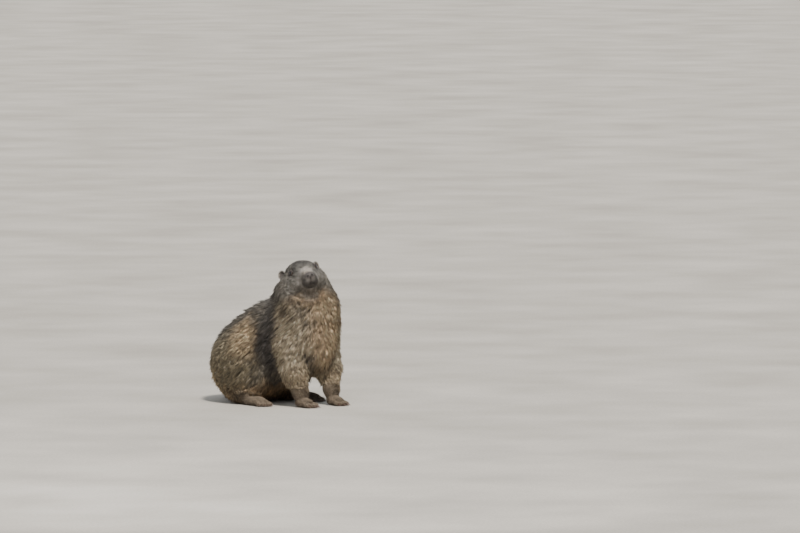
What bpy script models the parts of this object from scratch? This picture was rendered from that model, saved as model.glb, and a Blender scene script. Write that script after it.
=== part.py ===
"""An alpine marmot sitting on its haunches, as a still, life-size model.

The animal faces -Y, its left side is +X and it sits on the floor at z = 0. The body is one
smooth form: a table of rounded masses that run into each other. It is meshed by Blender's
voxel remesh, drawn onto the exact blended surface, and parted by thin cuts where a person
would name the parts. Lengths are metres.
"""

import math

import bmesh
import bpy
import numpy as np
from mathutils import Euler, Matrix, Vector

# Gaps and mesh fineness
GAP = 0.0003
CLEARANCE = 0.00045
SLIVER = 0.000002
BODY_GRAIN = 0.0085
HEAD_GRAIN = 0.0042
FOOT_GRAIN = 0.0036
TAIL_GRAIN = 0.0085
BODY_KEEP = 0.12
HEAD_KEEP = 0.12
FOOT_KEEP = 0.17
TAIL_KEEP = 0.30
REACH = 0.020

# Where the animal's own origin lies from the middle of the finished model's box
SHIFT = Vector((-0.0166, -0.0122, 0.0))

# The head's own frame: its origin is midway between the eyes, x forward, y to its left, z up
EYES_AT = Vector((-0.0405, -0.1175, 0.2975))
HEAD_TURN = 33.0
HEAD_LIFT = 5.0
HEAD_TILT = 14.0

EYE_RADIUS = 0.0064
EYE_OUT = 0.0264
EYE_SOCKET = EYE_RADIUS + GAP


def head_frame():
    """World matrix of the head: turned to the animal's right, lifted, then tilted over."""
    faces_front = Matrix.Rotation(math.radians(-90.0 - HEAD_TURN), 4, "Z")
    lifted = Matrix.Rotation(math.radians(-HEAD_LIFT), 4, "Y")
    tilted = Matrix.Rotation(math.radians(HEAD_TILT), 4, "X")
    return Matrix.Translation(EYES_AT) @ faces_front @ lifted @ tilted


HEAD = head_frame()


def on_head(forward, left, up):
    """A point given in the head's frame, in the world."""
    return HEAD @ Vector((forward, left, up))


# Each mass: centre, radii, (pitch, roll, turn) in degrees, and how softly it runs into the rest
TRUNK = {
    "hips": ((0, 0.067, 0.090), (0.100, 0.091, 0.091), (0, 0, 0), 0.030),
    "loin": ((0, 0.018, 0.122), (0.089, 0.088, 0.097), (0, 0, 0), 0.035),
    "ribs": ((0, -0.035, 0.145), (0.082, 0.080, 0.087), (0, 0, 0), 0.035),
    "shoulders": ((0, -0.086, 0.158), (0.080, 0.066, 0.078), (0, 0, 0), 0.035),
    "breast": ((-0.004, -0.106, 0.128), (0.054, 0.048, 0.062), (0, 0, 0), 0.025),
    "throat": ((0.000, -0.093, 0.208), (0.077, 0.063, 0.057), (0, 0, 0), 0.030),
    "ruff": ((-0.010, -0.096, 0.242), (0.063, 0.054, 0.042), (0, 0, 0), 0.025),
    "nape": ((-0.004, -0.056, 0.240), (0.040, 0.042, 0.042), (0, 0, 0), 0.028),
}
HAUNCH = ((0.066, 0.042, 0.077), (0.044, 0.073, 0.078), (-14, 0, 0), 0.022)

# The head's masses, in its own frame
SKULL = {
    "cranium": ((-0.026, 0, -0.005), (0.040, 0.0345, 0.0265), (0, 0, 0), 0.012),
    "brow": ((-0.003, 0, -0.001), (0.024, 0.0265, 0.0180), (0, 10, 0), 0.012),
    "bridge": ((0.016, 0, -0.0090), (0.030, 0.0170, 0.0155), (0, 13, 0), 0.012),
    "nose_end": ((0.0340, 0, -0.0150), (0.0135, 0.0130, 0.0100), (0, 4, 0), 0.008),
    "chin": ((0.006, 0, -0.0375), (0.030, 0.0160, 0.0120), (0, 0, 0), 0.010),
    "gullet": ((-0.020, 0, -0.0480), (0.036, 0.0280, 0.0230), (0, 18, 0), 0.024),
}
SKULL_PAIRS = {
    "lip": ((0.0285, 0.0085, -0.0250), (0.0175, 0.0115, 0.0130), (0, 0, -8), 0.006),
    "cheek": ((-0.008, 0.0225, -0.0240), (0.029, 0.0205, 0.0225), (0, 0, -12), 0.014),
    "jowl": ((-0.032, 0.0280, -0.0330), (0.030, 0.0250, 0.0270), (0, 0, 0), 0.016),
}

# Limbs: (point, radius) down each one, for the left side; the right mirrors it
FORE_LEG = (
    ((0.056, -0.086, 0.130), 0.034),
    ((0.051, -0.100, 0.078), 0.0265),
    ((0.045, -0.114, 0.036), 0.0180),
)
FORE_STEP = 0.010
PAWS = {
    "fore": {
        "at": (0.0445, -0.112),
        "splay": -4.0,
        "limbs": [(((-0.003, 0, 0.034), 0.0150), ((0.004, 0, 0.015), 0.0125))],
        "sole": ((0.012, 0, 0.0100), (0.020, 0.0140, 0.0108)),
        "toes": ((-0.0105, 0.0335), (-0.0036, 0.0385), (0.0036, 0.0380), (0.0105, 0.0320)),
        "knuckle": 0.020,
        "toe_height": 0.0085,
        "toe_radius": 0.0044,
        "claw": 0.0115,
        "claw_radius": 0.0021,
    },
    "hind": {
        "at": (0.0760, 0.0130),
        "splay": 9.0,
        "limbs": [(((-0.010, 0, 0.030), 0.0180), ((0.008, 0, 0.014), 0.0140))],
        "sole": ((0.024, 0, 0.0095), (0.037, 0.0150, 0.0110)),
        "toes": (
            (-0.0120, 0.0560),
            (-0.0060, 0.0640),
            (0.0, 0.0660),
            (0.0060, 0.0635),
            (0.0120, 0.0550),
        ),
        "knuckle": 0.046,
        "toe_height": 0.0080,
        "toe_radius": 0.0042,
        "claw": 0.0085,
        "claw_radius": 0.0019,
    },
}
SIDES = ((1, "left"), (-1, "right"))

# The coat: its core lies this far inside the outline, which the tips of the locks reach
COAT_CORE = 0.008
COAT_FADE = 0.030
LOCK = {
    "long": (0.052, 0.070),
    "wide": (0.036, 0.046),
    "thick": 0.0032,
    "sunk": 0.0055,
    "proud": (0.0, 0.0040),
    "raised": 0.85,
    "swerve": 16.0,
    "stations": ((0.0, 0.70, 0.90), (0.36, 1.0, 1.0), (0.72, 0.66, 0.60), (1.0, 0.04, 0.15)),
}
LOCK_SPACING = 0.0385
TAIL_CORE = 0.006
TAIL_LOCK = {"long": (0.042, 0.052), "wide": (0.022, 0.028), "proud": (0.0, 0.002)}
TAIL_LOCK_SPACING = 0.026
TAIL_LOCK_LOWEST = 0.012
LOCK_SEED = 11
LOCK_LOWEST = 0.030
LOCK_CLEAR = 0.010
COAT_LIE = Vector((0.0, 0.55, -0.84))

# Cuts between the trunk's parts: (centre, radii, pitch) of the rounded ones
THIGH = ((0.078, 0.042, 0.072), (0.052, 0.078, 0.084), -14)
SLEEVE_OUT = 0.0055
SLEEVE_REACH = 0.05
HEAD_CUT = ((-0.005, 0, -0.012), (0.063, 0.058, 0.049))
NECK_ROOT = Vector((0, -0.03, 0.232))
NECK_NORMAL = (0, -0.34, 0.94)
CHEST_BACK = Vector((0, -0.052, 0.10))
CHEST_NORMAL = (0, -0.97, -0.24)
RUMP_FRONT = Vector((0, 0.050, 0.10))
RUMP_NORMAL = (0, 0.91, -0.41)

# Face: places in the head's frame
LID_OUT = 0.0036
LID_WIDTH = 0.0066
LID_HEIGHT = 0.0054
LID_THICK = 0.0014
NOSE_PAD = ((0.0455, 0, -0.0115), (0.0070, 0.0078, 0.0062))
NOSTRIL = ((0.0492, 0.0038, -0.0125), (0.0045, 0.0015, 0.0021))
PHILTRUM = ((0.0455, 0, -0.0250), (0.0045, 0.0006, 0.0085))
MOUTH = {
    "at": (0.0160, 0, -0.0365),
    "dip": 2.0,
    "long": 0.0222,
    "wide": 0.0190,
    "deep": 0.0045,
    "slit": 0.16,
}
EAR = {
    "at": (-0.0370, 0.0375, -0.0020),
    "facing": (0.70, 0.70, 0.15),
    "half": (0.0033, 0.0088, 0.0095),
    "scoop": 0.0029,
    "cup": (0.0033, 0.0069, 0.0075),
}

TAIL = (
    ((0.008, 0.128, 0.042), 0.0190),
    ((0.030, 0.158, 0.026), 0.0225),
    ((0.066, 0.174, 0.0225), 0.0235),
    ((0.102, 0.170, 0.0205), 0.0215),
    ((0.132, 0.152, 0.0140), 0.0120),
)


class Mass:
    """One rounded mass: an ellipsoid, or a tapered limb between two points."""

    def __init__(self, centre, radii, turn, soft, frame=Matrix.Identity(4)):
        rotation = Euler([math.radians(a) for a in turn]).to_matrix().to_4x4()
        self.matrix = frame @ Matrix.Translation(centre) @ rotation
        self.radii = np.array(radii)
        self.soft = soft

    def distance(self, points):
        inverse = np.array(self.matrix.inverted())
        local = points @ inverse[:3, :3].T + inverse[:3, 3]
        scaled = np.linalg.norm(local / self.radii, axis=1)
        slope = np.linalg.norm(local / self.radii**2, axis=1)
        return scaled * (scaled - 1.0) / np.maximum(slope, 1e-9)

    def balls(self):
        """(centre matrix, radii) of the spheres that rough the mass out."""
        yield self.matrix, self.radii


class Limb:
    """A tapered, round-ended length from a to b."""

    def __init__(self, a, b, radius_a, radius_b, soft):
        self.a, self.b = Vector(a), Vector(b)
        self.radius_a, self.radius_b = radius_a, radius_b
        self.soft = soft

    def distance(self, points):
        a = np.array(self.a)
        along = np.array(self.b) - a
        share = np.clip((points - a) @ along / (along @ along), 0.0, 1.0)
        nearest = a + share[:, None] * along
        radius = self.radius_a + share * (self.radius_b - self.radius_a)
        return np.linalg.norm(points - nearest, axis=1) - radius

    def balls(self):
        steps = max(2, int((self.b - self.a).length / (0.5 * min(self.radius_a, self.radius_b))))
        for i in range(steps + 1):
            share = i / steps
            radius = self.radius_a + share * (self.radius_b - self.radius_a)
            yield Matrix.Translation(self.a.lerp(self.b, share)), np.full(3, radius)


def mirrored(mass):
    """The same mass on the other side of its frame's middle plane."""
    centre, radii, (pitch, roll, turn), soft = mass
    x, y, z = centre
    return (-x, y, z), radii, (pitch, -roll, -turn), soft


def mirrored_head(mass):
    centre, radii, (roll, pitch, turn), soft = mass
    x, y, z = centre
    return (x, -y, z), radii, (-roll, pitch, -turn), soft


def limb_chain(joints, soft):
    return [Limb(a, b, ra, rb, soft) for (a, ra), (b, rb) in zip(joints, joints[1:])]


def fore_leg_joints(side):
    """Joints of a foreleg; side is 1 for the left one, which stands a step ahead."""
    ahead = -FORE_STEP if side > 0 else 0.0
    return [
        ((side * x, y + ahead * (1.0 - z / 0.18), z), radius)
        for (x, y, z), radius in FORE_LEG
    ]


def trunk_masses():
    masses = [Mass(*row) for row in TRUNK.values()]
    for row in (HAUNCH, mirrored(HAUNCH)):
        masses.append(Mass(*row))
    for side in (1, -1):
        masses += limb_chain(fore_leg_joints(side), 0.016)
    return masses


def head_masses():
    masses = [Mass(*row, HEAD) for row in SKULL.values()]
    for row in SKULL_PAIRS.values():
        masses.append(Mass(*row, HEAD))
        masses.append(Mass(*mirrored_head(row), HEAD))
    return masses


def field(masses, points):
    """Signed distance to the masses run together, negative inside."""
    total = masses[0].distance(points)
    for mass in masses[1:]:
        other = mass.distance(points)
        share = np.clip(0.5 + 0.5 * (other - total) / mass.soft, 0.0, 1.0)
        total = other * (1 - share) + total * share - mass.soft * share * (1 - share)
    return total


def gradient(masses, points, step=0.0004):
    """Direction in which the field grows, one row for each point."""
    columns = []
    for axis in np.eye(3) * step:
        ahead = field(masses, points + axis)
        behind = field(masses, points - axis)
        columns.append((ahead - behind) / (2 * step))
    return np.stack(columns, axis=1)


def coordinates(mesh):
    found = np.empty(len(mesh.vertices) * 3, np.float32)
    mesh.vertices.foreach_get("co", found)
    return found.reshape(-1, 3).astype(float)


def set_coordinates(mesh, points):
    mesh.vertices.foreach_set("co", points.astype(np.float32).ravel())
    mesh.update()


def relaxed(mesh, points):
    """Each vertex at the mean of its neighbours."""
    edges = np.array([e.vertices[:] for e in mesh.edges])
    total = np.zeros_like(points)
    count = np.zeros(len(points))
    for here, there in ((0, 1), (1, 0)):
        np.add.at(total, edges[:, here], points[edges[:, there]])
        np.add.at(count, edges[:, here], 1)
    return total / count[:, None]


def no_depth(points):
    """The depth of a surface that is the outline itself."""
    return np.zeros(len(points))


def landed(masses, points, depth, steps=4):
    """The points moved straight onto the surface that lies this deep under the outline."""
    for _ in range(steps):
        slope = gradient(masses, points)
        steep = np.maximum((slope**2).sum(1), 0.05)
        points = points - ((field(masses, points) + depth) / steep)[:, None] * slope
    return points


def drawn_on(mesh, masses, rounds=4, depth_of=no_depth):
    """Evens the mesh out and draws it onto the blended surface, where that is within reach."""
    points = coordinates(mesh)
    near = (np.abs(field(masses, points)) < REACH)[:, None]
    for turn in range(rounds):
        if turn < rounds - 1:
            points = np.where(near, 0.4 * points + 0.6 * relaxed(mesh, points), points)
        points = np.where(near, landed(masses, points, depth_of(points)), points)
    set_coordinates(mesh, points)


def new_object(name, mesh):
    obj = bpy.data.objects.new(name, mesh)
    bpy.context.scene.collection.objects.link(obj)
    return obj


def baked(obj):
    """The object with its modifiers worked into its mesh."""
    graph = bpy.context.evaluated_depsgraph_get()
    mesh = bpy.data.meshes.new_from_object(obj.evaluated_get(graph))
    obj.modifiers.clear()
    obj.data = mesh
    return obj


def rounded_form(name, rough, masses, grain, keep=1.0, depth_of=no_depth, detail=3):
    """A closed mesh roughed out by some masses and drawn onto all that run together.

    Its faces start about grain wide, and keep is the share of them that stays.
    """
    bm = bmesh.new()
    for mass in rough:
        for matrix, radii in mass.balls():
            sized = matrix @ Matrix.Diagonal((*radii, 1.0))
            bmesh.ops.create_icosphere(bm, subdivisions=detail, radius=1.0, matrix=sized)
    mesh = bpy.data.meshes.new(name)
    bm.to_mesh(mesh)
    bm.free()
    obj = new_object(name, mesh)
    remesh = obj.modifiers.new("even", "REMESH")
    remesh.mode = "VOXEL"
    remesh.voxel_size = grain
    baked(obj)
    drawn_on(obj.data, masses, 4, depth_of)
    if keep < 1.0:
        fewer = obj.modifiers.new("fewer", "DECIMATE")
        fewer.ratio = keep
        baked(obj)
        drawn_on(obj.data, masses, 1, depth_of)
    return obj


def boolean(obj, other, operation, solver="MANIFOLD"):
    """Joins, cuts or keeps what is shared with another object, which is removed.

    The exact solver leaves small overlaps and lost a whole cut here, so it isn't used.
    """
    cut = obj.modifiers.new(operation.lower(), "BOOLEAN")
    cut.operation = operation
    cut.solver = solver
    cut.object = other
    baked(obj)
    bpy.data.objects.remove(other)
    return obj


def joined(obj, others):
    """Unites an object with closed pieces that grow out of it, and removes them."""
    pieces = bpy.data.collections.new("pieces")
    for other in others:
        pieces.objects.link(other)
    union = obj.modifiers.new("union", "BOOLEAN")
    union.operation = "UNION"
    union.operand_type = "COLLECTION"
    union.collection = pieces
    union.solver = "MANIFOLD"
    baked(obj)
    for other in others:
        bpy.data.objects.remove(other)
    bpy.data.collections.remove(pieces)
    return largest_body(obj)


def largest_body(obj):
    """Keeps the largest closed surface of the mesh, in triangles, and drops loose scraps."""
    bm = bmesh.new()
    bm.from_mesh(obj.data)
    bm.verts.ensure_lookup_table()
    seen, islands = set(), []
    for start in bm.verts:
        if start in seen:
            continue
        island, queue = [], [start]
        seen.add(start)
        while queue:
            vert = queue.pop()
            island.append(vert)
            for edge in vert.link_edges:
                other = edge.other_vert(vert)
                if other not in seen:
                    seen.add(other)
                    queue.append(other)
        islands.append(island)
    islands.sort(key=len)
    loose = [vert for island in islands[:-1] for vert in island]
    bmesh.ops.delete(bm, geom=loose, context="VERTS")
    bmesh.ops.triangulate(bm, faces=bm.faces)
    merged = bm.copy()
    bmesh.ops.remove_doubles(merged, verts=merged.verts, dist=SLIVER)
    still_closed = all(edge.is_manifold for edge in merged.edges)
    (merged if still_closed else bm).to_mesh(obj.data)
    merged.free()
    bm.free()
    return obj


def half_space(point, normal, reach=0.6):
    """A large box whose one face lies at point and looks along normal; it fills the far side."""
    normal = Vector(normal).normalized()
    bm = bmesh.new()
    turn = normal.to_track_quat("Z", "Y").to_matrix().to_4x4()
    middle = Vector(point) - normal * (reach / 2)
    matrix = Matrix.Translation(middle) @ turn @ Matrix.Diagonal((reach, reach, reach, 1.0))
    bmesh.ops.create_cube(bm, size=1.0, matrix=matrix)
    mesh = bpy.data.meshes.new("half_space")
    bm.to_mesh(mesh)
    bm.free()
    return new_object("half_space", mesh)


def ball(matrix, radii, detail=3):
    bm = bmesh.new()
    sized = matrix @ Matrix.Diagonal((*radii, 1.0))
    bmesh.ops.create_icosphere(bm, subdivisions=detail, radius=1.0, matrix=sized)
    mesh = bpy.data.meshes.new("ball")
    bm.to_mesh(mesh)
    bm.free()
    return new_object("ball", mesh)


def copy_of(obj, name):
    made = obj.copy()
    made.data = obj.data.copy()
    made.name = name
    bpy.context.scene.collection.objects.link(made)
    return made


def swollen(obj, by, name="swollen"):
    """A copy whose surface stands proud of the original by this much."""
    made = copy_of(obj, name)
    normals = np.empty(len(made.data.vertices) * 3, np.float32)
    made.data.vertices.foreach_get("normal", normals)
    set_coordinates(made.data, coordinates(made.data) + by * normals.reshape(-1, 3))
    return made


def cut_clear(obj, *others):
    """Cuts an object back from its neighbours, so that a thin gap is left."""
    for other in others:
        boolean(obj, swollen(other, CLEARANCE), "DIFFERENCE")
        boolean(obj, copy_of(other, "neighbour"), "DIFFERENCE")
    return largest_body(obj)


def parted(obj, point, normal, name_beyond, name_behind):
    """Splits an object by a thin flat cut; beyond is the side that the normal looks to."""
    normal = Vector(normal).normalized()
    beyond = copy_of(obj, name_beyond)
    boolean(beyond, half_space(Vector(point) + normal * GAP / 2, normal), "DIFFERENCE")
    boolean(obj, half_space(Vector(point) - normal * GAP / 2, -normal), "DIFFERENCE")
    obj.name = name_behind
    return largest_body(beyond), largest_body(obj)


def carved(obj, inside, around, name):
    """Takes the part inside one shape off an object, and what a slightly larger one holds."""
    inner = copy_of(obj, name)
    boolean(inner, inside, "INTERSECT")
    boolean(obj, around, "DIFFERENCE")
    return largest_body(inner), largest_body(obj)


def ball_pair(matrix, radii, detail=3):
    """An ellipsoid and one a gap larger, to cut with."""
    return ball(matrix, radii, detail), ball(matrix, [r + 1.6 * GAP for r in radii], detail)


def lofted(name, loops):
    """A closed mesh through loops of points that all have the same count."""
    bm = bmesh.new()
    rows = [[bm.verts.new(point) for point in loop] for loop in loops]
    for here, there in zip(rows, rows[1:]):
        for k in range(len(here)):
            bm.faces.new((here[k], here[k - 1], there[k - 1], there[k]))
    bm.faces.new(rows[0])
    bm.faces.new(rows[-1][::-1])
    bmesh.ops.triangulate(bm, faces=bm.faces)
    bmesh.ops.recalc_face_normals(bm, faces=bm.faces)
    mesh = bpy.data.meshes.new(name)
    bm.to_mesh(mesh)
    bm.free()
    return new_object(name, mesh)


def sleeve(side, extra, sides=12):
    """A round-topped tube over the foreleg, from inside the shoulder to under the foot."""
    joints = [(Vector(point), radius + extra) for point, radius in fore_leg_joints(side)]
    (shoulder, widest), (wrist, narrow) = joints[0], joints[-1]
    stations = []
    for degrees in (75, 50, 25):
        angle = math.radians(degrees)
        lift = Vector((0, 0, widest * math.sin(angle)))
        stations.append((shoulder + lift, widest * math.cos(angle)))
    stations += joints
    stations.append((wrist - Vector((0, 0, SLEEVE_REACH)), narrow))
    turns = [2 * math.pi * k / sides for k in range(sides)]
    loops = [
        [middle + radius * Vector((math.cos(turn), math.sin(turn), 0)) for turn in turns]
        for middle, radius in stations
    ]
    return lofted("sleeve", loops)


def on_floor(obj):
    """Takes off what lies under the floor, which leaves a small flat."""
    boolean(obj, half_space((0, 0, 0), (0, 0, 1)), "DIFFERENCE")
    return largest_body(obj)


def core_depth(points):
    """How deep the coat's core lies: nothing at the head and the floor, full away from them."""
    inverse = np.array((HEAD @ Matrix.Translation(HEAD_CUT[0])).inverted())
    local = points @ inverse[:3, :3].T + inverse[:3, 3]
    beyond = (np.linalg.norm(local / np.array(HEAD_CUT[1]), axis=1) - 1.0) * min(HEAD_CUT[1])
    off_head = np.clip((beyond + 0.004) / COAT_FADE, 0.0, 1.0)
    off_floor = np.clip((points[:, 2] - 0.004) / COAT_FADE, 0.0, 1.0)
    return COAT_CORE * off_head * off_floor


def lie_of_coat(masses, points):
    """(normals, unit directions along the body) of the coat at some points."""
    normals = gradient(masses, points)
    normals /= np.linalg.norm(normals, axis=1)[:, None]
    wanted = np.array(COAT_LIE) + np.outer(points[:, 0] * 3.0, (1.0, 0.0, 0.0))
    along = wanted - (wanted * normals).sum(1)[:, None] * normals
    along /= np.maximum(np.linalg.norm(along, axis=1), 1e-6)[:, None]
    return normals, along


def lock_roots(mesh, spacing, allowed, draw):
    """Points about this far apart, spread over the faces of a mesh."""
    mesh.calc_loop_triangles()
    corners = np.array([t.vertices[:] for t in mesh.loop_triangles])
    points = coordinates(mesh)
    a, b, c = (points[corners[:, k]] for k in range(3))
    areas = np.linalg.norm(np.cross(b - a, c - a), axis=1)
    picks = draw.choice(len(corners), 9000, p=areas / areas.sum())
    u, v = draw.random((2, len(picks), 1))
    u, v = np.where(u + v > 1, 1 - u, u), np.where(u + v > 1, 1 - v, v)
    spots = a[picks] + u * (b - a)[picks] + v * (c - a)[picks]
    spots = spots[allowed(spots)]
    chosen = []
    for spot in spots:
        if all(np.sum((spot - other) ** 2) > spacing**2 for other in chosen):
            chosen.append(spot)
    return np.array(chosen)


def tail_depth(points):
    """The depth of the tail's core: nothing at its root, then half the depth of its coat."""
    root, (middle, _) = TAIL[0][0], TAIL[1]
    along = Vector(middle) - Vector(root)
    share = (points - np.array(root)) @ np.array(along) / along.length_squared
    return TAIL_CORE * np.clip(share - 0.3, 0.0, 1.0)


def lie_of_tail(masses, points):
    """(normals, unit directions towards the tail's tip) of its coat at some points."""
    normals = gradient(masses, points)
    normals /= np.linalg.norm(normals, axis=1)[:, None]
    nearest = np.argmin([mass.distance(points) for mass in masses], axis=0)
    wanted = np.array([np.array(masses[k].b - masses[k].a) for k in nearest])
    along = wanted - (wanted * normals).sum(1)[:, None] * normals
    along /= np.maximum(np.linalg.norm(along, axis=1), 1e-6)[:, None]
    return normals, along


def may_root_on_tail(points):
    """Locks grow on the tail's top and sides, away from its root."""
    return (tail_depth(points) > 0.6 * TAIL_CORE) & (points[:, 2] > TAIL_LOCK_LOWEST)


def lock_of(masses, root, size, draw, depth_of=core_depth, lie=lie_of_coat):
    """One flat, tapered lock that lies along the coat, as a closed mesh object."""
    long, wide, proud = size
    swerve = math.radians(draw.uniform(-1, 1) * LOCK["swerve"])
    steps = 9
    spine, normals, acrosses = [], [], []
    point = root[None, :]
    for i in range(steps):
        share = i / (steps - 1)
        rise = min(1.0, share / LOCK["raised"])
        depth = (depth_of(point) + LOCK["sunk"]) * (1.0 - rise) - proud * share
        point = landed(masses, point, depth, 3)
        normal, along = lie(masses, point)
        across = np.cross(normal, along)
        turn = swerve * (share - 0.3) * 1.6
        heading = along * math.cos(turn) + across * math.sin(turn)
        spine.append(Vector(point[0]))
        normals.append(Vector(normal[0]))
        acrosses.append(Vector(np.cross(normal, heading)[0]))
        point = point + heading * long / (steps - 1)
    loops = []
    for share, width, thickness in LOCK["stations"]:
        k = round(share * (steps - 1))
        side = acrosses[k] * wide / 2 * width
        up = normals[k] * LOCK["thick"] / 2 * thickness
        loops.append([spine[k] + side, spine[k] + up, spine[k] - side, spine[k] - up])
    return lofted("lock", loops)


def neck_masses():
    """The masses that the head grows out of."""
    return [Mass(*TRUNK[name]) for name in ("throat", "ruff", "nape")]


def sided(form, side):
    """(matrix, radii) of an ellipsoid given for the left side."""
    (x, y, z), radii, pitch = form
    turn = Matrix.Rotation(math.radians(pitch), 4, "X")
    return Matrix.Translation((side * x, y, z)) @ turn, radii


def paw_frame(kind, side):
    """World matrix of a foot: its origin on the floor under the ankle, x towards the toes."""
    paw = PAWS[kind]
    x, y = paw["at"]
    ahead = -FORE_STEP if kind == "fore" and side > 0 else 0.0
    turn = Matrix.Rotation(math.radians(-90.0 + side * paw["splay"]), 4, "Z")
    return Matrix.Translation((side * x, y + ahead, 0.0)) @ turn


def toe_joints(kind, side, number):
    """(root, tip) of one toe in the foot's frame; toes are counted from the inner one."""
    paw = PAWS[kind]
    across, reach = paw["toes"][number]
    root = Vector((paw["knuckle"], side * across, paw["toe_height"]))
    tip = Vector((reach, side * across * 1.25, paw["toe_radius"] * 1.05))
    return root, tip


def foot_masses(kind, side):
    """The masses of a foot and its toes."""
    paw = PAWS[kind]
    frame = paw_frame(kind, side)
    masses = []
    for (a, radius_a), (b, radius_b) in paw["limbs"]:
        masses.append(Limb(frame @ Vector(a), frame @ Vector(b), radius_a, radius_b, 0.008))
    middle, radii = paw["sole"]
    masses.append(Mass(middle, radii, (0, 0, 0), 0.006, frame))
    for number in range(len(paw["toes"])):
        root, tip = toe_joints(kind, side, number)
        radius = paw["toe_radius"]
        masses.append(Limb(frame @ root, frame @ tip, radius * 1.1, radius, 0.0025))
    return masses


def foot_of(kind, side, word):
    """A foot with its toes, closed and rounded."""
    masses = foot_masses(kind, side)
    return rounded_form(f"{kind}_foot_{word}", masses, masses, FOOT_GRAIN, FOOT_KEEP)


def claw_of(kind, side, word, number, foot):
    """One curved claw, cut clear of the toe it grows from."""
    paw = PAWS[kind]
    root, tip = toe_joints(kind, side, number)
    frame = paw_frame(kind, side)
    along = (tip - root).normalized()
    rings, sides = 3, 6
    loops = []
    for i in range(rings):
        share = i / (rings - 1)
        middle = tip + along * (paw["toe_radius"] * 0.3 + share * paw["claw"])
        middle.z += 0.0012 * math.sin(share * math.pi * 0.5) - 0.0034 * share**2
        radius = paw["claw_radius"] * (1.0 - 0.78 * share**1.3)
        loop = []
        for k in range(sides):
            angle = 2 * math.pi * k / sides
            out = Vector((0, math.cos(angle) * 0.8, math.sin(angle))) * radius
            loop.append(frame @ (middle + out))
        loops.append(loop)
    claw = lofted(f"{kind}_claw_{word}_{number + 1}", loops)
    return on_floor(cut_clear(claw, foot))


def eye_matrix(side):
    """World matrix of an eye, z looking out of it, x along the slit of the lids."""
    out = Vector((0.60, side * 0.78, 0.18)).normalized()
    slit = Vector((0, 0, 1)).cross(out).normalized()
    up = out.cross(slit)
    turn = Matrix((slit, up, out)).transposed().to_4x4()
    return HEAD @ Matrix.Translation((0.0, side * EYE_OUT, 0.0)) @ turn


def ring(matrix, around, across, radius, flat=1.0, steps=14, sides=5):
    """A closed elliptical ring round the z axis of a matrix, as thick as radius."""
    bm = bmesh.new()
    loops = []
    for i in range(steps):
        angle = 2 * math.pi * i / steps
        middle = Vector((around * math.cos(angle), across * math.sin(angle), 0))
        out = middle.normalized()
        loop = []
        for k in range(sides):
            turn = 2 * math.pi * k / sides
            lift = Vector((0, 0, flat * math.sin(turn)))
            loop.append(bm.verts.new(matrix @ (middle + radius * (out * math.cos(turn) + lift))))
        loops.append(loop)
    for i in range(steps):
        here, there = loops[i - 1], loops[i]
        for k in range(sides):
            bm.faces.new((here[k - 1], here[k], there[k], there[k - 1]))
    bmesh.ops.triangulate(bm, faces=bm.faces)
    bmesh.ops.recalc_face_normals(bm, faces=bm.faces)
    mesh = bpy.data.meshes.new("ring")
    bm.to_mesh(mesh)
    bm.free()
    return new_object("ring", mesh)


def lid_ring(side):
    """The lids: an almond ring round the front of the eye."""
    matrix = eye_matrix(side) @ Matrix.Translation((0, 0, LID_OUT))
    return ring(matrix, LID_WIDTH, LID_HEIGHT, LID_THICK)


def mouth_ring():
    """The groove of the closed mouth, round the front of the muzzle."""
    matrix = HEAD @ Matrix.Translation(MOUTH["at"])
    matrix = matrix @ Matrix.Rotation(math.radians(MOUTH["dip"]), 4, "Y")
    return ring(matrix, MOUTH["long"], MOUTH["wide"], MOUTH["deep"], MOUTH["slit"], 22)


def ear_of(side, word):
    """A small rounded ear with its cup."""
    forward, left, height = EAR["facing"]
    out = Vector((forward, side * left, height)).normalized()
    up = Vector((-0.15, side * 0.30, 1.0))
    up = (up - up.dot(out) * out).normalized()
    across = up.cross(out)
    turn = Matrix((out, across, up)).transposed().to_4x4()
    forward, left, height = EAR["at"]
    matrix = HEAD @ Matrix.Translation((forward, side * left, height)) @ turn
    ear = ball(matrix, EAR["half"], 2)
    ear.name = "ear_" + word
    scoop = matrix @ Matrix.Translation((EAR["scoop"], 0, 0.0006))
    boolean(ear, ball(scoop, EAR["cup"], 2), "DIFFERENCE")
    return ear


# Materials, with the colours of the coat in the photo
COLOURS = {
    "coat_grey": ((0.19, 0.17, 0.15), 0.85),
    "coat_straw": ((0.42, 0.33, 0.22), 0.85),
    "coat_rust": ((0.34, 0.23, 0.14), 0.85),
    "coat_dark": ((0.10, 0.085, 0.075), 0.85),
    "bare_skin": ((0.09, 0.07, 0.065), 0.6),
    "claw_horn": ((0.06, 0.045, 0.035), 0.4),
    "eye_dark": ((0.012, 0.009, 0.008), 0.08),
}


def dressed(obj, colour):
    """Gives the object its material and smooth shading."""
    material = bpy.data.materials.get(colour)
    if material is None:
        (red, green, blue), rough = COLOURS[colour]
        material = bpy.data.materials.new(colour)
        material.use_nodes = True
        shader = material.node_tree.nodes["Principled BSDF"]
        shader.inputs["Base Color"].default_value = (red, green, blue, 1.0)
        shader.inputs["Roughness"].default_value = rough
        shader.inputs["Metallic"].default_value = 0.0
    obj.data.materials.clear()
    obj.data.materials.append(material)
    obj.data.shade_smooth()
    obj.data.set_sharp_from_angle(angle=math.radians(40))
    return obj


for old in list(bpy.data.objects):
    bpy.data.objects.remove(old)

# The trunk, from the rump to the neck, with haunches and upper forelegs
skin = trunk_masses() + head_masses()
trunk = rounded_form("torso", skin, skin, BODY_GRAIN, BODY_KEEP, core_depth)
feet = {(kind, side): foot_of(kind, side, word) for side, word in SIDES for kind in PAWS}
feet_masses = [mass for kind in PAWS for side, word in SIDES for mass in foot_masses(kind, side)]


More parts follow.
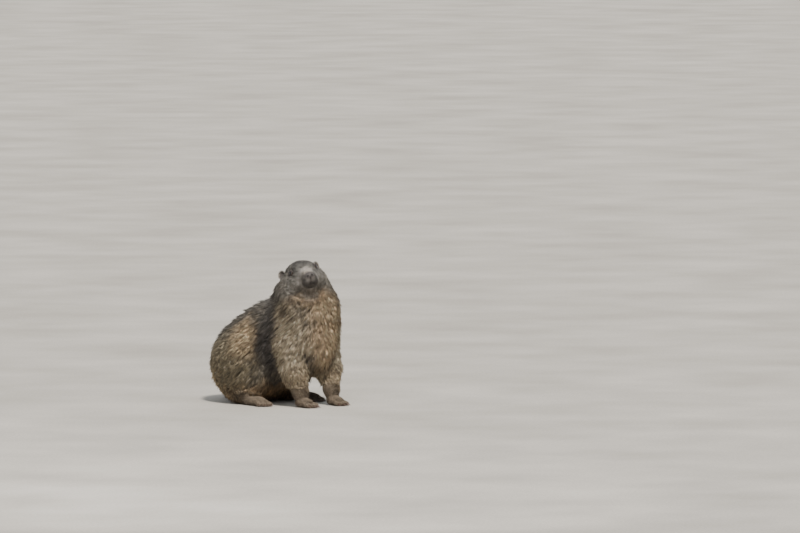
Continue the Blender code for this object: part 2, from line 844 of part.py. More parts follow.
def may_root(points):
    """Where locks grow: on the sides and top, clear of the floor, the feet, head and ears."""
    normals = lie_of_coat(skin, points)[0]
    high = points[:, 2] > LOCK_LOWEST
    outward = normals[:, 2] > -0.45
    between_legs = (np.abs(points[:, 0]) < 0.055) & (points[:, 2] < 0.10) & (points[:, 1] < 0.02)
    off_feet = field(feet_masses, points) > LOCK_CLEAR
    off_head = core_depth(points) > 0.3 * COAT_CORE
    return high & outward & off_feet & off_head & ~between_legs


draw = np.random.default_rng(LOCK_SEED)
locks = []
for root in lock_roots(trunk.data, LOCK_SPACING, may_root, draw):
    size = [draw.uniform(*LOCK[name]) for name in ("long", "wide", "proud")]
    locks.append(lock_of(skin, root, size, draw))
joined(trunk, locks)

# The tail lies on the floor round the animal's left side; trunk and legs give way to it
tail_form = limb_chain(TAIL, 0.012)
tail = rounded_form("tail", tail_form, tail_form, TAIL_GRAIN, TAIL_KEEP, tail_depth)
tail_locks = []
for root in lock_roots(tail.data, TAIL_LOCK_SPACING, may_root_on_tail, draw):
    size = [draw.uniform(*TAIL_LOCK[name]) for name in ("long", "wide", "proud")]
    tail_locks.append(lock_of(tail_form, root, size, draw, tail_depth, lie_of_tail))
joined(tail, tail_locks)
cut_clear(trunk, tail, *feet.values())
on_floor(tail)
bend, ahead = Vector(TAIL[2][0]), Vector(TAIL[3][0]) - Vector(TAIL[1][0])
for length in parted(tail, bend, ahead, "tail_end", "tail_root"):
    dressed(length, "coat_dark")
head = rounded_form("head", neck_masses() + head_masses(), skin, HEAD_GRAIN, HEAD_KEEP)

# Head and neck meet at a rounded cut behind the ears and under the jaw
inside, around = ball_pair(HEAD @ Matrix.Translation(HEAD_CUT[0]), HEAD_CUT[1])
boolean(head, inside, "INTERSECT")
boolean(trunk, around, "DIFFERENCE")
largest_body(head)
largest_body(on_floor(trunk))

# Legs come off the trunk by rounded cuts, then the neck and the rump by flat ones
hind_legs, fore_legs = {}, {}
for side, word in SIDES:
    inside, around = ball_pair(*sided(THIGH, side))
    hind_legs[side], trunk = carved(trunk, inside, around, "hind_leg_" + word)
    inside, around = sleeve(side, SLEEVE_OUT), sleeve(side, SLEEVE_OUT + 1.3 * GAP)
    fore_legs[side], trunk = carved(trunk, inside, around, "fore_leg_" + word)
neck, trunk = parted(trunk, NECK_ROOT, NECK_NORMAL, "neck", "torso")
rump, trunk = parted(trunk, RUMP_FRONT, RUMP_NORMAL, "rump", "torso")
chest, trunk = parted(trunk, CHEST_BACK, CHEST_NORMAL, "chest", "torso")
for obj, colour in ((trunk, "coat_straw"), (chest, "coat_straw"), (rump, "coat_rust")):
    dressed(obj, colour)
dressed(neck, "coat_grey")

# Feet, each with its toes, and a claw for each toe
for side, word in SIDES:
    dressed(hind_legs[side], "coat_rust")
    dressed(fore_legs[side], "coat_straw")
    for kind, leg in (("fore", fore_legs[side]), ("hind", hind_legs[side])):
        foot = feet[kind, side]
        dressed(on_floor(foot), "coat_dark")
        for number in range(len(PAWS[kind]["toes"])):
            dressed(claw_of(kind, side, word, number, foot), "claw_horn")

# Face
for side, word in SIDES:
    boolean(head, lid_ring(side), "UNION")
for side, word in SIDES:
    boolean(head, ball(eye_matrix(side), [EYE_SOCKET] * 3, 2), "DIFFERENCE")
    eye = ball(eye_matrix(side), [EYE_RADIUS] * 3, 2)
    eye.name = "eye_" + word
    dressed(eye, "eye_dark")
boolean(head, mouth_ring(), "DIFFERENCE")
boolean(head, ball(HEAD @ Matrix.Translation(PHILTRUM[0]), PHILTRUM[1], 2), "DIFFERENCE")
inside, around = ball_pair(HEAD @ Matrix.Translation(NOSE_PAD[0]), NOSE_PAD[1], 2)
nose, head = carved(head, inside, around, "nose")
for side in (1, -1):
    middle, radii = NOSTRIL
    matrix = HEAD @ Matrix.Translation((middle[0], side * middle[1], middle[2]))
    boolean(nose, ball(matrix, radii, 2), "DIFFERENCE")
dressed(largest_body(nose), "bare_skin")
dressed(largest_body(head), "coat_grey")
for side, word in SIDES:
    dressed(cut_clear(ear_of(side, word), head, neck), "coat_dark")

for obj in bpy.data.objects:
    obj.data.transform(Matrix.Translation(SHIFT))
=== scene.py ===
# %% [markdown]
# # An alpine marmot, sitting
#
# This lesson dresses a still, life-size alpine marmot: skin, eyes, claws, whiskers and a full
# coat of fur. The solids are already there as a frame, and every piece made here lies on them.
# We load the frame first, because each later cell measures something on it.

import math

import bpy
import numpy as np
from mathutils import Euler, Matrix, Vector
from mathutils.kdtree import KDTree


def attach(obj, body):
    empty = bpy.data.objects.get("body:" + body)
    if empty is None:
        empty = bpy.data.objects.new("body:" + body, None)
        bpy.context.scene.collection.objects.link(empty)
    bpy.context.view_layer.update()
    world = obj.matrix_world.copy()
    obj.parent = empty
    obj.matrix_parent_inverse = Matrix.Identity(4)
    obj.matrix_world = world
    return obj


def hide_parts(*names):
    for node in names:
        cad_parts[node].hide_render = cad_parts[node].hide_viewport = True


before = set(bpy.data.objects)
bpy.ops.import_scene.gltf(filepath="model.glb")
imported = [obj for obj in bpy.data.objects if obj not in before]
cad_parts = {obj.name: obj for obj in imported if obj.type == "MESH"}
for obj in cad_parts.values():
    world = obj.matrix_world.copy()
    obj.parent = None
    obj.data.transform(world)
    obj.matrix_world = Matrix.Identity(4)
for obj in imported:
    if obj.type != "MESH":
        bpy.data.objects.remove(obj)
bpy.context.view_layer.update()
bpy.ops.object.select_all(action="DESELECT")

# %% [markdown]
# ## The body as a blend of masses
#
# A sitting marmot is a heap of soft, round masses: hips, loin, ribs, shoulders and throat, with
# a flat-topped head set on them. Each row below gives a mass its centre, its three radii, a
# turn in degrees, and how softly it runs into the others. Blending rounded masses by formula,
# rather than sculpting by hand, gives one closed surface that we can ask anything of: how far
# a point lies from it, and which way is out. Both skin and fur need those answers.

# %% Sizes of the trunk and the head
BODY_AT = Vector((-0.0166, -0.0122, 0.0))
EYES_AT = Vector((-0.0405, -0.1175, 0.2975))
HEAD_TURN, HEAD_LIFT, HEAD_TILT = 33.0, 5.0, 14.0

TRUNK = {
    "hips": ((0, 0.067, 0.090), (0.100, 0.091, 0.091), (0, 0, 0), 0.030),
    "loin": ((0, 0.018, 0.122), (0.089, 0.088, 0.097), (0, 0, 0), 0.035),
    "ribs": ((0, -0.035, 0.145), (0.082, 0.080, 0.087), (0, 0, 0), 0.035),
    "shoulders": ((0, -0.086, 0.158), (0.080, 0.066, 0.078), (0, 0, 0), 0.035),
    "breast": ((-0.004, -0.106, 0.128), (0.054, 0.048, 0.062), (0, 0, 0), 0.025),
    "throat": ((0.000, -0.093, 0.208), (0.077, 0.063, 0.057), (0, 0, 0), 0.030),
    "ruff": ((-0.010, -0.096, 0.242), (0.063, 0.054, 0.042), (0, 0, 0), 0.025),
    "nape": ((-0.004, -0.056, 0.240), (0.040, 0.042, 0.042), (0, 0, 0), 0.028),
}
HAUNCH = ((0.066, 0.042, 0.077), (0.044, 0.073, 0.078), (-14, 0, 0), 0.022)
SKULL = {
    "cranium": ((-0.026, 0, -0.005), (0.040, 0.0345, 0.0265), (0, 0, 0), 0.012),
    "brow": ((-0.003, 0, -0.001), (0.024, 0.0265, 0.0180), (0, 10, 0), 0.012),
    "bridge": ((0.016, 0, -0.0090), (0.030, 0.0170, 0.0155), (0, 13, 0), 0.012),
    "nose_end": ((0.0340, 0, -0.0150), (0.0135, 0.0130, 0.0100), (0, 4, 0), 0.008),
    "chin": ((0.006, 0, -0.0375), (0.030, 0.0160, 0.0120), (0, 0, 0), 0.010),
    "gullet": ((-0.020, 0, -0.0480), (0.036, 0.0280, 0.0230), (0, 18, 0), 0.024),
}
SKULL_PAIRS = {
    "lip": ((0.0285, 0.0085, -0.0250), (0.0175, 0.0115, 0.0130), (0, 0, -8), 0.006),
    "cheek": ((-0.008, 0.0225, -0.0240), (0.029, 0.0205, 0.0225), (0, 0, -12), 0.014),
    "jowl": ((-0.032, 0.0280, -0.0330), (0.030, 0.0250, 0.0270), (0, 0, 0), 0.016),
}
FORE_LEG = (
    ((0.056, -0.086, 0.130), 0.034),
    ((0.051, -0.100, 0.078), 0.0265),
    ((0.045, -0.114, 0.036), 0.0180),
)
FORE_STEP = 0.010
TAIL = (
    ((0.008, 0.128, 0.042), 0.0190),
    ((0.030, 0.158, 0.026), 0.0225),
    ((0.066, 0.174, 0.0225), 0.0235),
    ((0.102, 0.170, 0.0205), 0.0215),
    ((0.132, 0.152, 0.0140), 0.0120),
)
SIDES = ((1, "left"), (-1, "right"))
print("masses:", len(TRUNK) + 2 + len(SKULL) + 2 * len(SKULL_PAIRS))

# %% [markdown]
# The head has a frame of its own: its origin lies midway between the eyes, x looks forward, y
# to the animal's left and z up. It is turned to the animal's right, lifted a little and tilted,
# as in the photograph, so we can place a nostril or a lid without thinking about that turn.


# %% The head's frame
def head_frame():
    """World matrix of the head: turned to the animal's right, lifted, then tilted over."""
    faces_front = Matrix.Rotation(math.radians(-90.0 - HEAD_TURN), 4, "Z")
    lifted = Matrix.Rotation(math.radians(-HEAD_LIFT), 4, "Y")
    tilted = Matrix.Rotation(math.radians(HEAD_TILT), 4, "X")
    return Matrix.Translation(BODY_AT + EYES_AT) @ faces_front @ lifted @ tilted


HEAD = head_frame()
BODY = Matrix.Translation(BODY_AT)


def in_frame(matrix, points):
    """World points, one a row, in the axes of a frame."""
    inverse = np.array(matrix.inverted())
    return points @ inverse[:3, :3].T + inverse[:3, 3]


def to_world(matrix, points):
    table = np.array(matrix)
    return points @ table[:3, :3].T + table[:3, 3]


print("head origin:", HEAD.translation)


# %% Masses and limbs that know how far a point lies from them
class Mass:
    """An ellipsoid."""

    def __init__(self, centre, radii, turn, soft, frame_matrix):
        rotation = Euler([math.radians(a) for a in turn]).to_matrix().to_4x4()
        self.matrix = frame_matrix @ Matrix.Translation(centre) @ rotation
        self.radii = np.array(radii, float)
        self.soft = soft

    def distance(self, points):
        local = in_frame(self.matrix, points)
        scaled = np.linalg.norm(local / self.radii, axis=1)
        slope = np.linalg.norm(local / self.radii**2, axis=1)
        return scaled * (scaled - 1.0) / np.maximum(slope, 1e-9)

    def at_least(self, points):
        """A quick value that the distance is never below."""
        away = np.linalg.norm(points - np.array(self.matrix.translation), axis=1)
        return (away - self.radii.max()) * (self.radii.min() / self.radii.max())

    def balls(self):
        yield self.matrix, self.radii


class Limb:
    """A tapered, round-ended length from a to b."""

    def __init__(self, a, b, radius_a, radius_b, soft, frame_matrix):
        self.a, self.b = frame_matrix @ Vector(a), frame_matrix @ Vector(b)
        self.radius_a, self.radius_b = radius_a, radius_b
        self.soft = soft

    def distance(self, points):
        a = np.array(self.a)
        along = np.array(self.b) - a
        share = np.clip((points - a) @ along / (along @ along), 0.0, 1.0)
        nearest = a + share[:, None] * along
        radius = self.radius_a + share * (self.radius_b - self.radius_a)
        return np.linalg.norm(points - nearest, axis=1) - radius

    def at_least(self, points):
        """A quick value that the distance is never below."""
        away = np.linalg.norm(points - np.array((self.a + self.b) / 2), axis=1)
        return away - (self.b - self.a).length / 2 - max(self.radius_a, self.radius_b)

    def balls(self):
        steps = max(2, int((self.b - self.a).length / (0.5 * min(self.radius_a, self.radius_b))))
        for i in range(steps + 1):
            share = i / steps
            radius = self.radius_a + share * (self.radius_b - self.radius_a)
            yield Matrix.Translation(self.a.lerp(self.b, share)), np.full(3, radius)


# %% [markdown]
# ## Feet
#
# A marmot digs, so its feet are strong: four toes in front, five behind, each with a stout
# claw. A foot is built from a sole, an ankle and one small limb for each toe. The toes are
# placed by a table of how far across and how far forward each one reaches.

# %% Sizes of the feet
PAWS = {
    "fore": {
        "at": (0.0445, -0.112),
        "splay": -4.0,
        "ankle": ((-0.003, 0, 0.034), (0.004, 0, 0.015), 0.0150, 0.0125),
        "sole": ((0.012, 0, 0.0100), (0.020, 0.0140, 0.0108)),
        "toes": ((-0.0105, 0.0335), (-0.0036, 0.0385), (0.0036, 0.0380), (0.0105, 0.0320)),
        "knuckle": 0.020,
        "toe_height": 0.0085,
        "toe_radius": 0.0044,
        "claw": 0.0115,
        "claw_radius": 0.0021,
    },
    "hind": {
        "at": (0.0760, 0.0130),
        "splay": 9.0,
        "ankle": ((-0.010, 0, 0.030), (0.008, 0, 0.014), 0.0180, 0.0140),
        "sole": ((0.024, 0, 0.0095), (0.037, 0.0150, 0.0110)),
        "toes": (
            (-0.0120, 0.0560),
            (-0.0060, 0.0640),
            (0.0, 0.0660),
            (0.0060, 0.0635),
            (0.0120, 0.0550),
        ),
        "knuckle": 0.046,
        "toe_height": 0.0080,
        "toe_radius": 0.0042,
        "claw": 0.0085,
        "claw_radius": 0.0019,
    },
}


def paw_frame(kind, side):
    """World matrix of a foot: its origin on the floor under the ankle, x towards the toes."""
    paw = PAWS[kind]
    x, y = paw["at"]
    ahead = -FORE_STEP if kind == "fore" and side > 0 else 0.0
    turn = Matrix.Rotation(math.radians(-90.0 + side * paw["splay"]), 4, "Z")
    return BODY @ Matrix.Translation((side * x, y + ahead, 0.0)) @ turn


def toe_joints(kind, side, number):
    """(root, tip) of one toe in the foot's frame, counted from the inner one."""
    paw = PAWS[kind]
    across, reach = paw["toes"][number]
    root = Vector((paw["knuckle"], side * across, paw["toe_height"]))
    tip = Vector((reach, side * across * 1.25, paw["toe_radius"] * 1.05))
    return root, tip


def foot_masses(kind, side):
    paw, matrix = PAWS[kind], paw_frame(kind, side)
    a, b, radius_a, radius_b = paw["ankle"]
    masses = [Limb(a, b, radius_a, radius_b, 0.008, matrix)]
    middle, radii = paw["sole"]
    masses.append(Mass(middle, radii, (0, 0, 0), 0.006, matrix))
    for number in range(len(paw["toes"])):
        root, tip = toe_joints(kind, side, number)
        radius = paw["toe_radius"]
        masses.append(Limb(root, tip, radius * 1.1, radius, 0.0025, matrix))
    return masses


print("toes:", 2 * sum(len(paw["toes"]) for paw in PAWS.values()))


# %% The whole body as one list of masses
def mirrored(row, axis):
    """The row of the same mass on the other side, where this axis changes its sign."""
    centre, radii, turn, soft = row
    flip = np.where(np.arange(3) == axis, -1.0, 1.0)
    return flip * centre, radii, -flip * turn, soft


def chain(joints, soft, matrix):
    return [Limb(a, b, ra, rb, soft, matrix) for (a, ra), (b, rb) in zip(joints, joints[1:])]


def fore_leg_joints(side):
    """Joints of a foreleg; the left one stands a step ahead."""
    ahead = -FORE_STEP if side > 0 else 0.0
    return [
        ((side * x, y + ahead * (1.0 - z / 0.18), z), radius)
        for (x, y, z), radius in FORE_LEG
    ]


trunk_masses = [Mass(*row, BODY) for row in TRUNK.values()]
trunk_masses += [Mass(*row, BODY) for row in (HAUNCH, mirrored(HAUNCH, 0))]
for side, word in SIDES:
    trunk_masses += chain(fore_leg_joints(side), 0.016, BODY)
head_masses = [Mass(*row, HEAD) for row in SKULL.values()]
for row in SKULL_PAIRS.values():
    head_masses += [Mass(*row, HEAD), Mass(*mirrored(row, 1), HEAD)]
feet_masses = [m for side, word in SIDES for kind in PAWS for m in foot_masses(kind, side)]
tail_masses = chain(TAIL, 0.012, BODY)
all_masses = trunk_masses + head_masses + feet_masses + tail_masses
print("blended masses:", len(all_masses))


# %% Questions the blend can answer
def blended(masses, points):
    """Signed distance to the masses run together, negative inside."""
    total = masses[0].distance(points)
    for mass in masses[1:]:
        near = np.nonzero(mass.at_least(points) < total + mass.soft)[0]
        other, so_far = mass.distance(points[near]), total[near]
        share = np.clip(0.5 + 0.5 * (other - so_far) / mass.soft, 0.0, 1.0)
        joined = other * (1 - share) + so_far * share - mass.soft * share * (1 - share)
        total[near] = joined
    return total


def outline(points):
    """Signed distance to the animal's outline, out to the tips of its coat."""
    return blended(all_masses, points)


def slope_of(shape, points, here=None, step=0.0003):
    """Direction in which a shape's distance grows, one row for each point."""
    here = shape(points) if here is None else here
    return np.stack([(shape(points + axis) - here) / step for axis in np.eye(3) * step], axis=1)


def landed(shape, points, depth, steps=3):
    """The points moved straight onto the surface that lies this deep inside a shape."""
    for _ in range(steps):
        here = shape(points)
        slope = slope_of(shape, points, here)
        steep = np.maximum((slope**2).sum(1), 0.05)
        points = points - ((here + depth) / steep)[:, None] * slope
    return points


def soft_step(value, low, high):
    share = np.clip((value - low) / (high - low), 0.0, 1.0)
    return share * share * (3 - 2 * share)


print("nose end is inside by", -outline(np.array([HEAD @ Vector((0.034, 0, -0.015))])))

# %% [markdown]
# ## The face
#
# A marmot's face is mostly placement: small dark eyes set wide and high, a blunt nose over a
# short split lip, and low round ears. Nostrils, lips and the mouth are shallow on a real skin,
# so we keep them as changes of depth, to be pressed into or raised from the finished surface.

# %% Sizes of the face
EYE_RADIUS = 0.0064
EYE_OUT = 0.0258
LID = {"wide": 0.0070, "high": 0.0058}
NOSE_PAD = ((0.0430, 0, -0.0120), (0.0072, 0.0097, 0.0070), (0, 0, 0), 0.0032)
NOSTRIL_AT = Vector((0.0485, 0.0050, -0.0127))
MOUTH_AT = Vector((0.0160, 0, -0.0365))
MOUTH_LONG, MOUTH_WIDE, MOUTH_DIP = 0.0280, 0.0220, 2.0
EAR = {
    "at": (-0.0372, 0.0385, -0.0012),
    "facing": (0.70, 0.70, 0.15),
    "half": (0.0036, 0.0090, 0.0098),
}
EAR_PROFILE = (
    (0.0, -0.0006),
    (0.34, -0.0004),
    (0.60, 0.0004),
    (0.80, 0.0015),
    (0.93, 0.0025),
    (1.00, 0.0028),
    (1.05, 0.0022),
    (1.06, 0.0008),
    (1.00, -0.0012),
    (0.84, -0.0030),
    (0.55, -0.0043),
    (0.0, -0.0050),
)


def eye_frame(side):
    """World matrix of an eye, z looking out of it, x along the slit of the lids."""
    out = Vector((0.60, side * 0.78, 0.18)).normalized()
    slit = Vector((0, 0, 1)).cross(out).normalized()
    turn = Matrix((slit, out.cross(slit), out)).transposed().to_4x4()
    return HEAD @ Matrix.Translation((0.0, side * EYE_OUT, 0.0)) @ turn


def ear_frame(side):
    """World matrix of an ear, x looking out of its cup and z up it."""
    forward, left, height = EAR["facing"]
    out = Vector((forward, side * left, height)).normalized()
    up = Vector((-0.15, side * 0.30, 1.0))
    up = (up - up.dot(out) * out).normalized()
    turn = Matrix((out, up.cross(out), up)).transposed().to_4x4()
    forward, left, height = EAR["at"]
    return HEAD @ Matrix.Translation((forward, side * left, height)) @ turn


EYE_FRAMES = {side: eye_frame(side) for side, word in SIDES}
EAR_FRAMES = {side: ear_frame(side) for side, word in SIDES}
nose_pad = Mass(*NOSE_PAD, HEAD)
ears = [Mass((0, 0, 0), EAR["half"], (0, 0, 0), 0.003, m) for m in EAR_FRAMES.values()]
print("eyes at", [tuple(matrix.translation) for matrix in EYE_FRAMES.values()])

# %% [markdown]
# The skin lies under the outline by the depth of the coat: eight millimetres on the back, next
# to nothing on the nose and the feet. One function of place gives that depth. The same kind of
# soft zone also tells short fur from long fur later on.

# %% Zones of the body
HEAD_MIDDLE = (-0.005, 0, -0.012)
HEAD_RADII = (0.063, 0.058, 0.049)
# The two distances between which each zone fades, in metres
HEAD_FADE, MUZZLE_FADE = (-0.008, 0.022), (0.004, 0.034)
FEET_FADE, LEGS_FADE = (0.0, 0.020), (0.0, 0.014)
TAIL_FADE, TAIL_ROOT_FADE = (0.001, 0.018), (0.120, 0.145)
# Depth of the coat on the body, head, muzzle, feet, forelegs and tail. It thins between the
# next two heights over the floor and places before the eyes.
COAT_DEPTH = (0.0080, 0.0026, 0.0009, 0.0008, 0.0048, 0.0060)
FLOOR_FADE, NOSE_FADE = (0.002, 0.030), (0.040, 0.048)
leg_masses = [m for s, word in SIDES for m in chain(fore_leg_joints(s)[1:], 0.01, BODY)]


def size_in(points, centre, radii):
    """How far each point lies from a centre, counted in radii."""
    return np.linalg.norm((points - np.array(centre)) / np.array(radii), axis=1)


def zones(points):
    """How far each point belongs to the head, muzzle, feet, forelegs and tail, 0 to 1."""
    on_head = in_frame(HEAD, points)
    beyond = (size_in(on_head, HEAD_MIDDLE, HEAD_RADII) - 1.0) * min(HEAD_RADII)
    head = 1 - soft_step(beyond, *HEAD_FADE)
    muzzle = head * soft_step(on_head[:, 0], *MUZZLE_FADE)
    feet = 1 - soft_step(blended(feet_masses, points), *FEET_FADE)
    legs = 1 - soft_step(blended(leg_masses, points), *LEGS_FADE)
    tail = 1 - soft_step(blended(tail_masses, points), *TAIL_FADE)
    tail = tail * soft_step(points[:, 1] - BODY_AT.y, *TAIL_ROOT_FADE)
    return {"head": head, "muzzle": muzzle, "feet": feet, "legs": legs, "tail": tail}


def mixed(zone, body, head, muzzle, feet, legs, tail):
    """A value that differs by zone, run together where the zones meet."""
    value = body + (legs - body) * zone["legs"]
    value = value + (tail - value) * zone["tail"]
    value = value + (head - value) * zone["head"]
    value = value + (muzzle - value) * zone["muzzle"]
    return value + (feet - value) * zone["feet"]


def from_ears(points):
    return np.minimum(ears[0].distance(points), ears[1].distance(points))


def from_eyes(points):
    """How far each point lies from the nearer eye's centre."""
    centres = [np.array(matrix.translation) for matrix in EYE_FRAMES.values()]
    return np.min([np.linalg.norm(points - centre, axis=1) for centre in centres], axis=0)


def under_coat(points, zone):
    """Depth of the skin below the outline."""
    depth = mixed(zone, *COAT_DEPTH)
    on_head = in_frame(HEAD, points)
    depth = depth * (0.35 + 0.65 * soft_step(points[:, 2], *FLOOR_FADE))
    return depth * (1 - soft_step(on_head[:, 0], *NOSE_FADE) * zone["head"])


print("zones:", ", ".join(zones(np.zeros((1, 3)))))


# %% Nostrils, mouth, lips and brows as changes of depth
# Depths, heights, places and thicknesses, in metres. The edge is the lip's, over the mouth,
# the split runs from mouth to nose, and a wing is the nostril's raised rim.
MOUTH_DEEP, MOUTH_THICK = 0.0024, 0.0008
EDGE_HIGH, EDGE_AT, EDGE_THICK = 0.0008, 0.0024, 0.0016
SPLIT_DEEP, SPLIT_THICK = 0.0016, 0.0007
MOUTH_WAVE, MOUTH_WAVE_LONG = 0.0018, 0.0042
NOSTRIL_DEEP, NOSTRIL_SIZE = 0.0030, (0.0012, 0.0021, 0.008)
WING_HIGH, WING_AT, WING_SIZE = 0.0006, 0.0024, (0.0011, 0.003, 0.006)
BROW_HIGH, BROW_AT, BROW_SIZE = 0.0014, 0.0088, (0.010, 0.0028)
# Height, centre and radii of the lips and of the chin, in the head's frame
LIP_SWELL = (0.0020, (0.040, 0.0095, -0.0265), (0.012, 0.011, 0.009))
CHIN_SWELL = (0.0024, (0.032, 0, -0.0455), (0.014, 0.014, 0.010))


def swelling(points, swell, side=1):
    """How far a swelling stands out at each point; side mirrors it across the head."""
    high, (forward, left, up), radii = swell
    centre = np.array((forward, side * left, up))
    return high * np.exp(-(((points - centre) / radii) ** 2).sum(1))


def bell(value):
    """1 where a value is 0, falling softly to nothing on both sides."""
    return np.exp(-(value**2))


def face_relief(points):
    """Extra depth that presses the mouth and nostrils in and raises lips, chin and brows."""
    on_head = in_frame(HEAD, points)
    extra = np.zeros(len(points))
    dip = Matrix.Rotation(math.radians(MOUTH_DIP), 4, "Y")
    at_mouth = in_frame(HEAD @ Matrix.Translation(MOUTH_AT) @ dip, points)
    round_mouth = np.hypot(at_mouth[:, 0] / MOUTH_LONG, at_mouth[:, 1] / MOUTH_WIDE)
    near = soft_step(round_mouth, 0.45, 0.75) * soft_step(at_mouth[:, 0], -0.006, 0.006)
    curve = at_mouth[:, 2] + MOUTH_WAVE * np.cos(at_mouth[:, 1] / MOUTH_WAVE_LONG)
    extra += MOUTH_DEEP * near * bell(curve / MOUTH_THICK)
    extra -= EDGE_HIGH * near * bell((curve - EDGE_AT) / EDGE_THICK)
    split = soft_step(on_head[:, 2], -0.034, -0.029) * soft_step(-on_head[:, 2], 0.014, 0.017)
    split = split * soft_step(on_head[:, 0], 0.034, 0.042)
    extra += SPLIT_DEEP * split * bell(on_head[:, 1] / SPLIT_THICK)
    for side, word in SIDES:
        at = Vector((NOSTRIL_AT.x, side * NOSTRIL_AT.y, NOSTRIL_AT.z))
        local = on_head - np.array(at)
        slant = local[:, 1] * side + 0.5 * local[:, 2]
        hole = np.stack((slant, local[:, 2], local[:, 0]), 1) / NOSTRIL_SIZE
        extra += NOSTRIL_DEEP * np.exp(-((hole**2).sum(1) ** 2))
        wing = np.stack((slant - WING_AT, local[:, 2], local[:, 0]), 1) / WING_SIZE
        extra -= WING_HIGH * np.exp(-(wing**2).sum(1))
        extra -= swelling(on_head, LIP_SWELL, side)
        at_eye = in_frame(EYE_FRAMES[side], points)
        out = soft_step(at_eye[:, 2], -0.002, 0.001)
        brow = (at_eye[:, :2] - (0, BROW_AT)) / BROW_SIZE
        extra -= BROW_HIGH * out * np.exp(-(brow**2).sum(1))
    return extra - swelling(on_head, CHIN_SWELL)


def skin_depth(points):
    return under_coat(points, zones(points)) + face_relief(points)


def joined_softly(total, other, soft):
    share = np.clip(0.5 + 0.5 * (other - total) / soft, 0.0, 1.0)
    return other * (1 - share) + total * share - soft * share * (1 - share)


def skin_shape(points):
    """Signed distance to the outline with the nose pad and hollows for the eyes."""
    total = joined_softly(outline(points), nose_pad.distance(points), nose_pad.soft)
    for matrix in EYE_FRAMES.values():
        centre = np.array(matrix.translation)
        eyeball = np.linalg.norm(points - centre, axis=1) - EYE_RADIUS
        total = -joined_softly(-total, eyeball, 0.0006)
    return total


print("depth at the brow:", skin_depth(np.array([to_world(HEAD, np.array((0.0, 0, 0.02)))])))

# %% [markdown]
# ## Short words for meshes
#
# A few helpers keep Blender's own words out of the steps that follow. They read and write the
# points of a mesh, store a number on each point, and put an object in the scene.


# %% Helpers for meshes
def points_of(mesh):
    flat = np.empty(len(mesh.vertices) * 3)
    mesh.vertices.foreach_get("co", flat)
    return flat.reshape(-1, 3)


def set_points(mesh, points):
    mesh.vertices.foreach_set("co", np.ascontiguousarray(points, np.float32).ravel())
    mesh.update()


def add_value(mesh, values, name):
    """Gives each point of a mesh a number under a name."""
    layer = mesh.attributes.new(name, "FLOAT", "POINT")
    layer.data.foreach_set("value", np.ascontiguousarray(values, np.float32))


def values_of(mesh, name):
    values = np.empty(len(mesh.vertices), np.float32)
    mesh.attributes[name].data.foreach_get("value", values)
    return values


def select_only(active, *others):
    """Selects these objects and no other, the first one active."""
    bpy.ops.object.select_all(action="DESELECT")
    for obj in (active, *others):
        obj.select_set(True)
    bpy.context.view_layer.objects.active = active


def turn_outward():
    bpy.ops.mesh.normals_make_consistent(inside=False)


def on_all_faces(*steps):
    """Runs steps in edit mode on the whole of the active mesh."""
    bpy.ops.object.mode_set(mode="EDIT")
    bpy.ops.mesh.select_all(action="SELECT")
    for step in steps:
        step()
    bpy.ops.object.mode_set(mode="OBJECT")


def in_scene(name, mesh):
    """A new object that holds this mesh."""
    obj = bpy.data.objects.new(name, mesh)
    bpy.context.scene.collection.objects.link(obj)
    return obj


def shell(name, points, faces, value_name, values):
    """An object from points and faces, with a named number on each point."""
    mesh = bpy.data.meshes.new(name)
    mesh.from_pydata([tuple(p) for p in points], [], faces)
    add_value(mesh, values, value_name)
    return in_scene(name, mesh)


def smooth_shell(*shell_parts):
    """A shell that faces outward and is shaded smooth."""
    obj = shell(*shell_parts)
    select_only(obj)
    on_all_faces(turn_outward)
    bpy.ops.object.shade_smooth()
    return obj


print("mesh helpers ready")

# %% [markdown]
# ## One skin
#
# A ball goes in for each mass, and a voxel remesh melts them into one closed sheet of even
# quads. Its points are then drawn onto the formula, which is smoother and more exact than the
# voxels. The face needs finer detail than the back, so only the head and feet are subdivided.

# %% A rough body of balls
SKIN_GRAIN = 0.0030


def shrunk_ball(matrix, radii, detail=3):
    """An ellipsoid at a matrix, slightly smaller than its mass."""
    size = np.maximum(np.array(radii) - np.minimum(np.array(radii) * 0.09, 0.006), 0.001)
    bpy.ops.object.select_all(action="DESELECT")
    bpy.ops.mesh.primitive_ico_sphere_add(
        subdivisions=detail,
        radius=1.0,
        location=matrix.translation,
        rotation=matrix.to_euler(),
        scale=size,
    )
    return bpy.context.object


rough = [shrunk_ball(*ball) for mass in trunk_masses + head_masses for ball in mass.balls()]
rough += [shrunk_ball(*ball, 2) for mass in feet_masses + tail_masses for ball in mass.balls()]
rough += [shrunk_ball(*ball, 2) for ball in nose_pad.balls()]
select_only(*rough)
bpy.ops.object.join()
skin = bpy.context.object
skin.name = "skin"
bpy.ops.object.transform_apply(location=True, rotation=True, scale=True)
melt = skin.modifiers.new("melt", "REMESH")
melt.mode = "VOXEL"
melt.voxel_size = SKIN_GRAIN
bpy.ops.object.modifier_apply(modifier="melt")
print("rough skin:", len(skin.data.vertices), "points")


# %% Draw the skin onto the formula
def drawn_on(obj, rounds):
    """Moves an object's points onto the skin's shape and depth, except those of the ears."""
    points = points_of(obj.data)
    loose = values_of(obj.data, "ear") < 0.5
    for _ in range(rounds):
        points[loose] = landed(skin_shape, points[loose], skin_depth(points[loose]), 1)
        points[:, 2] = np.maximum(points[:, 2], 0.0)
    set_points(obj.data, points)
    return points


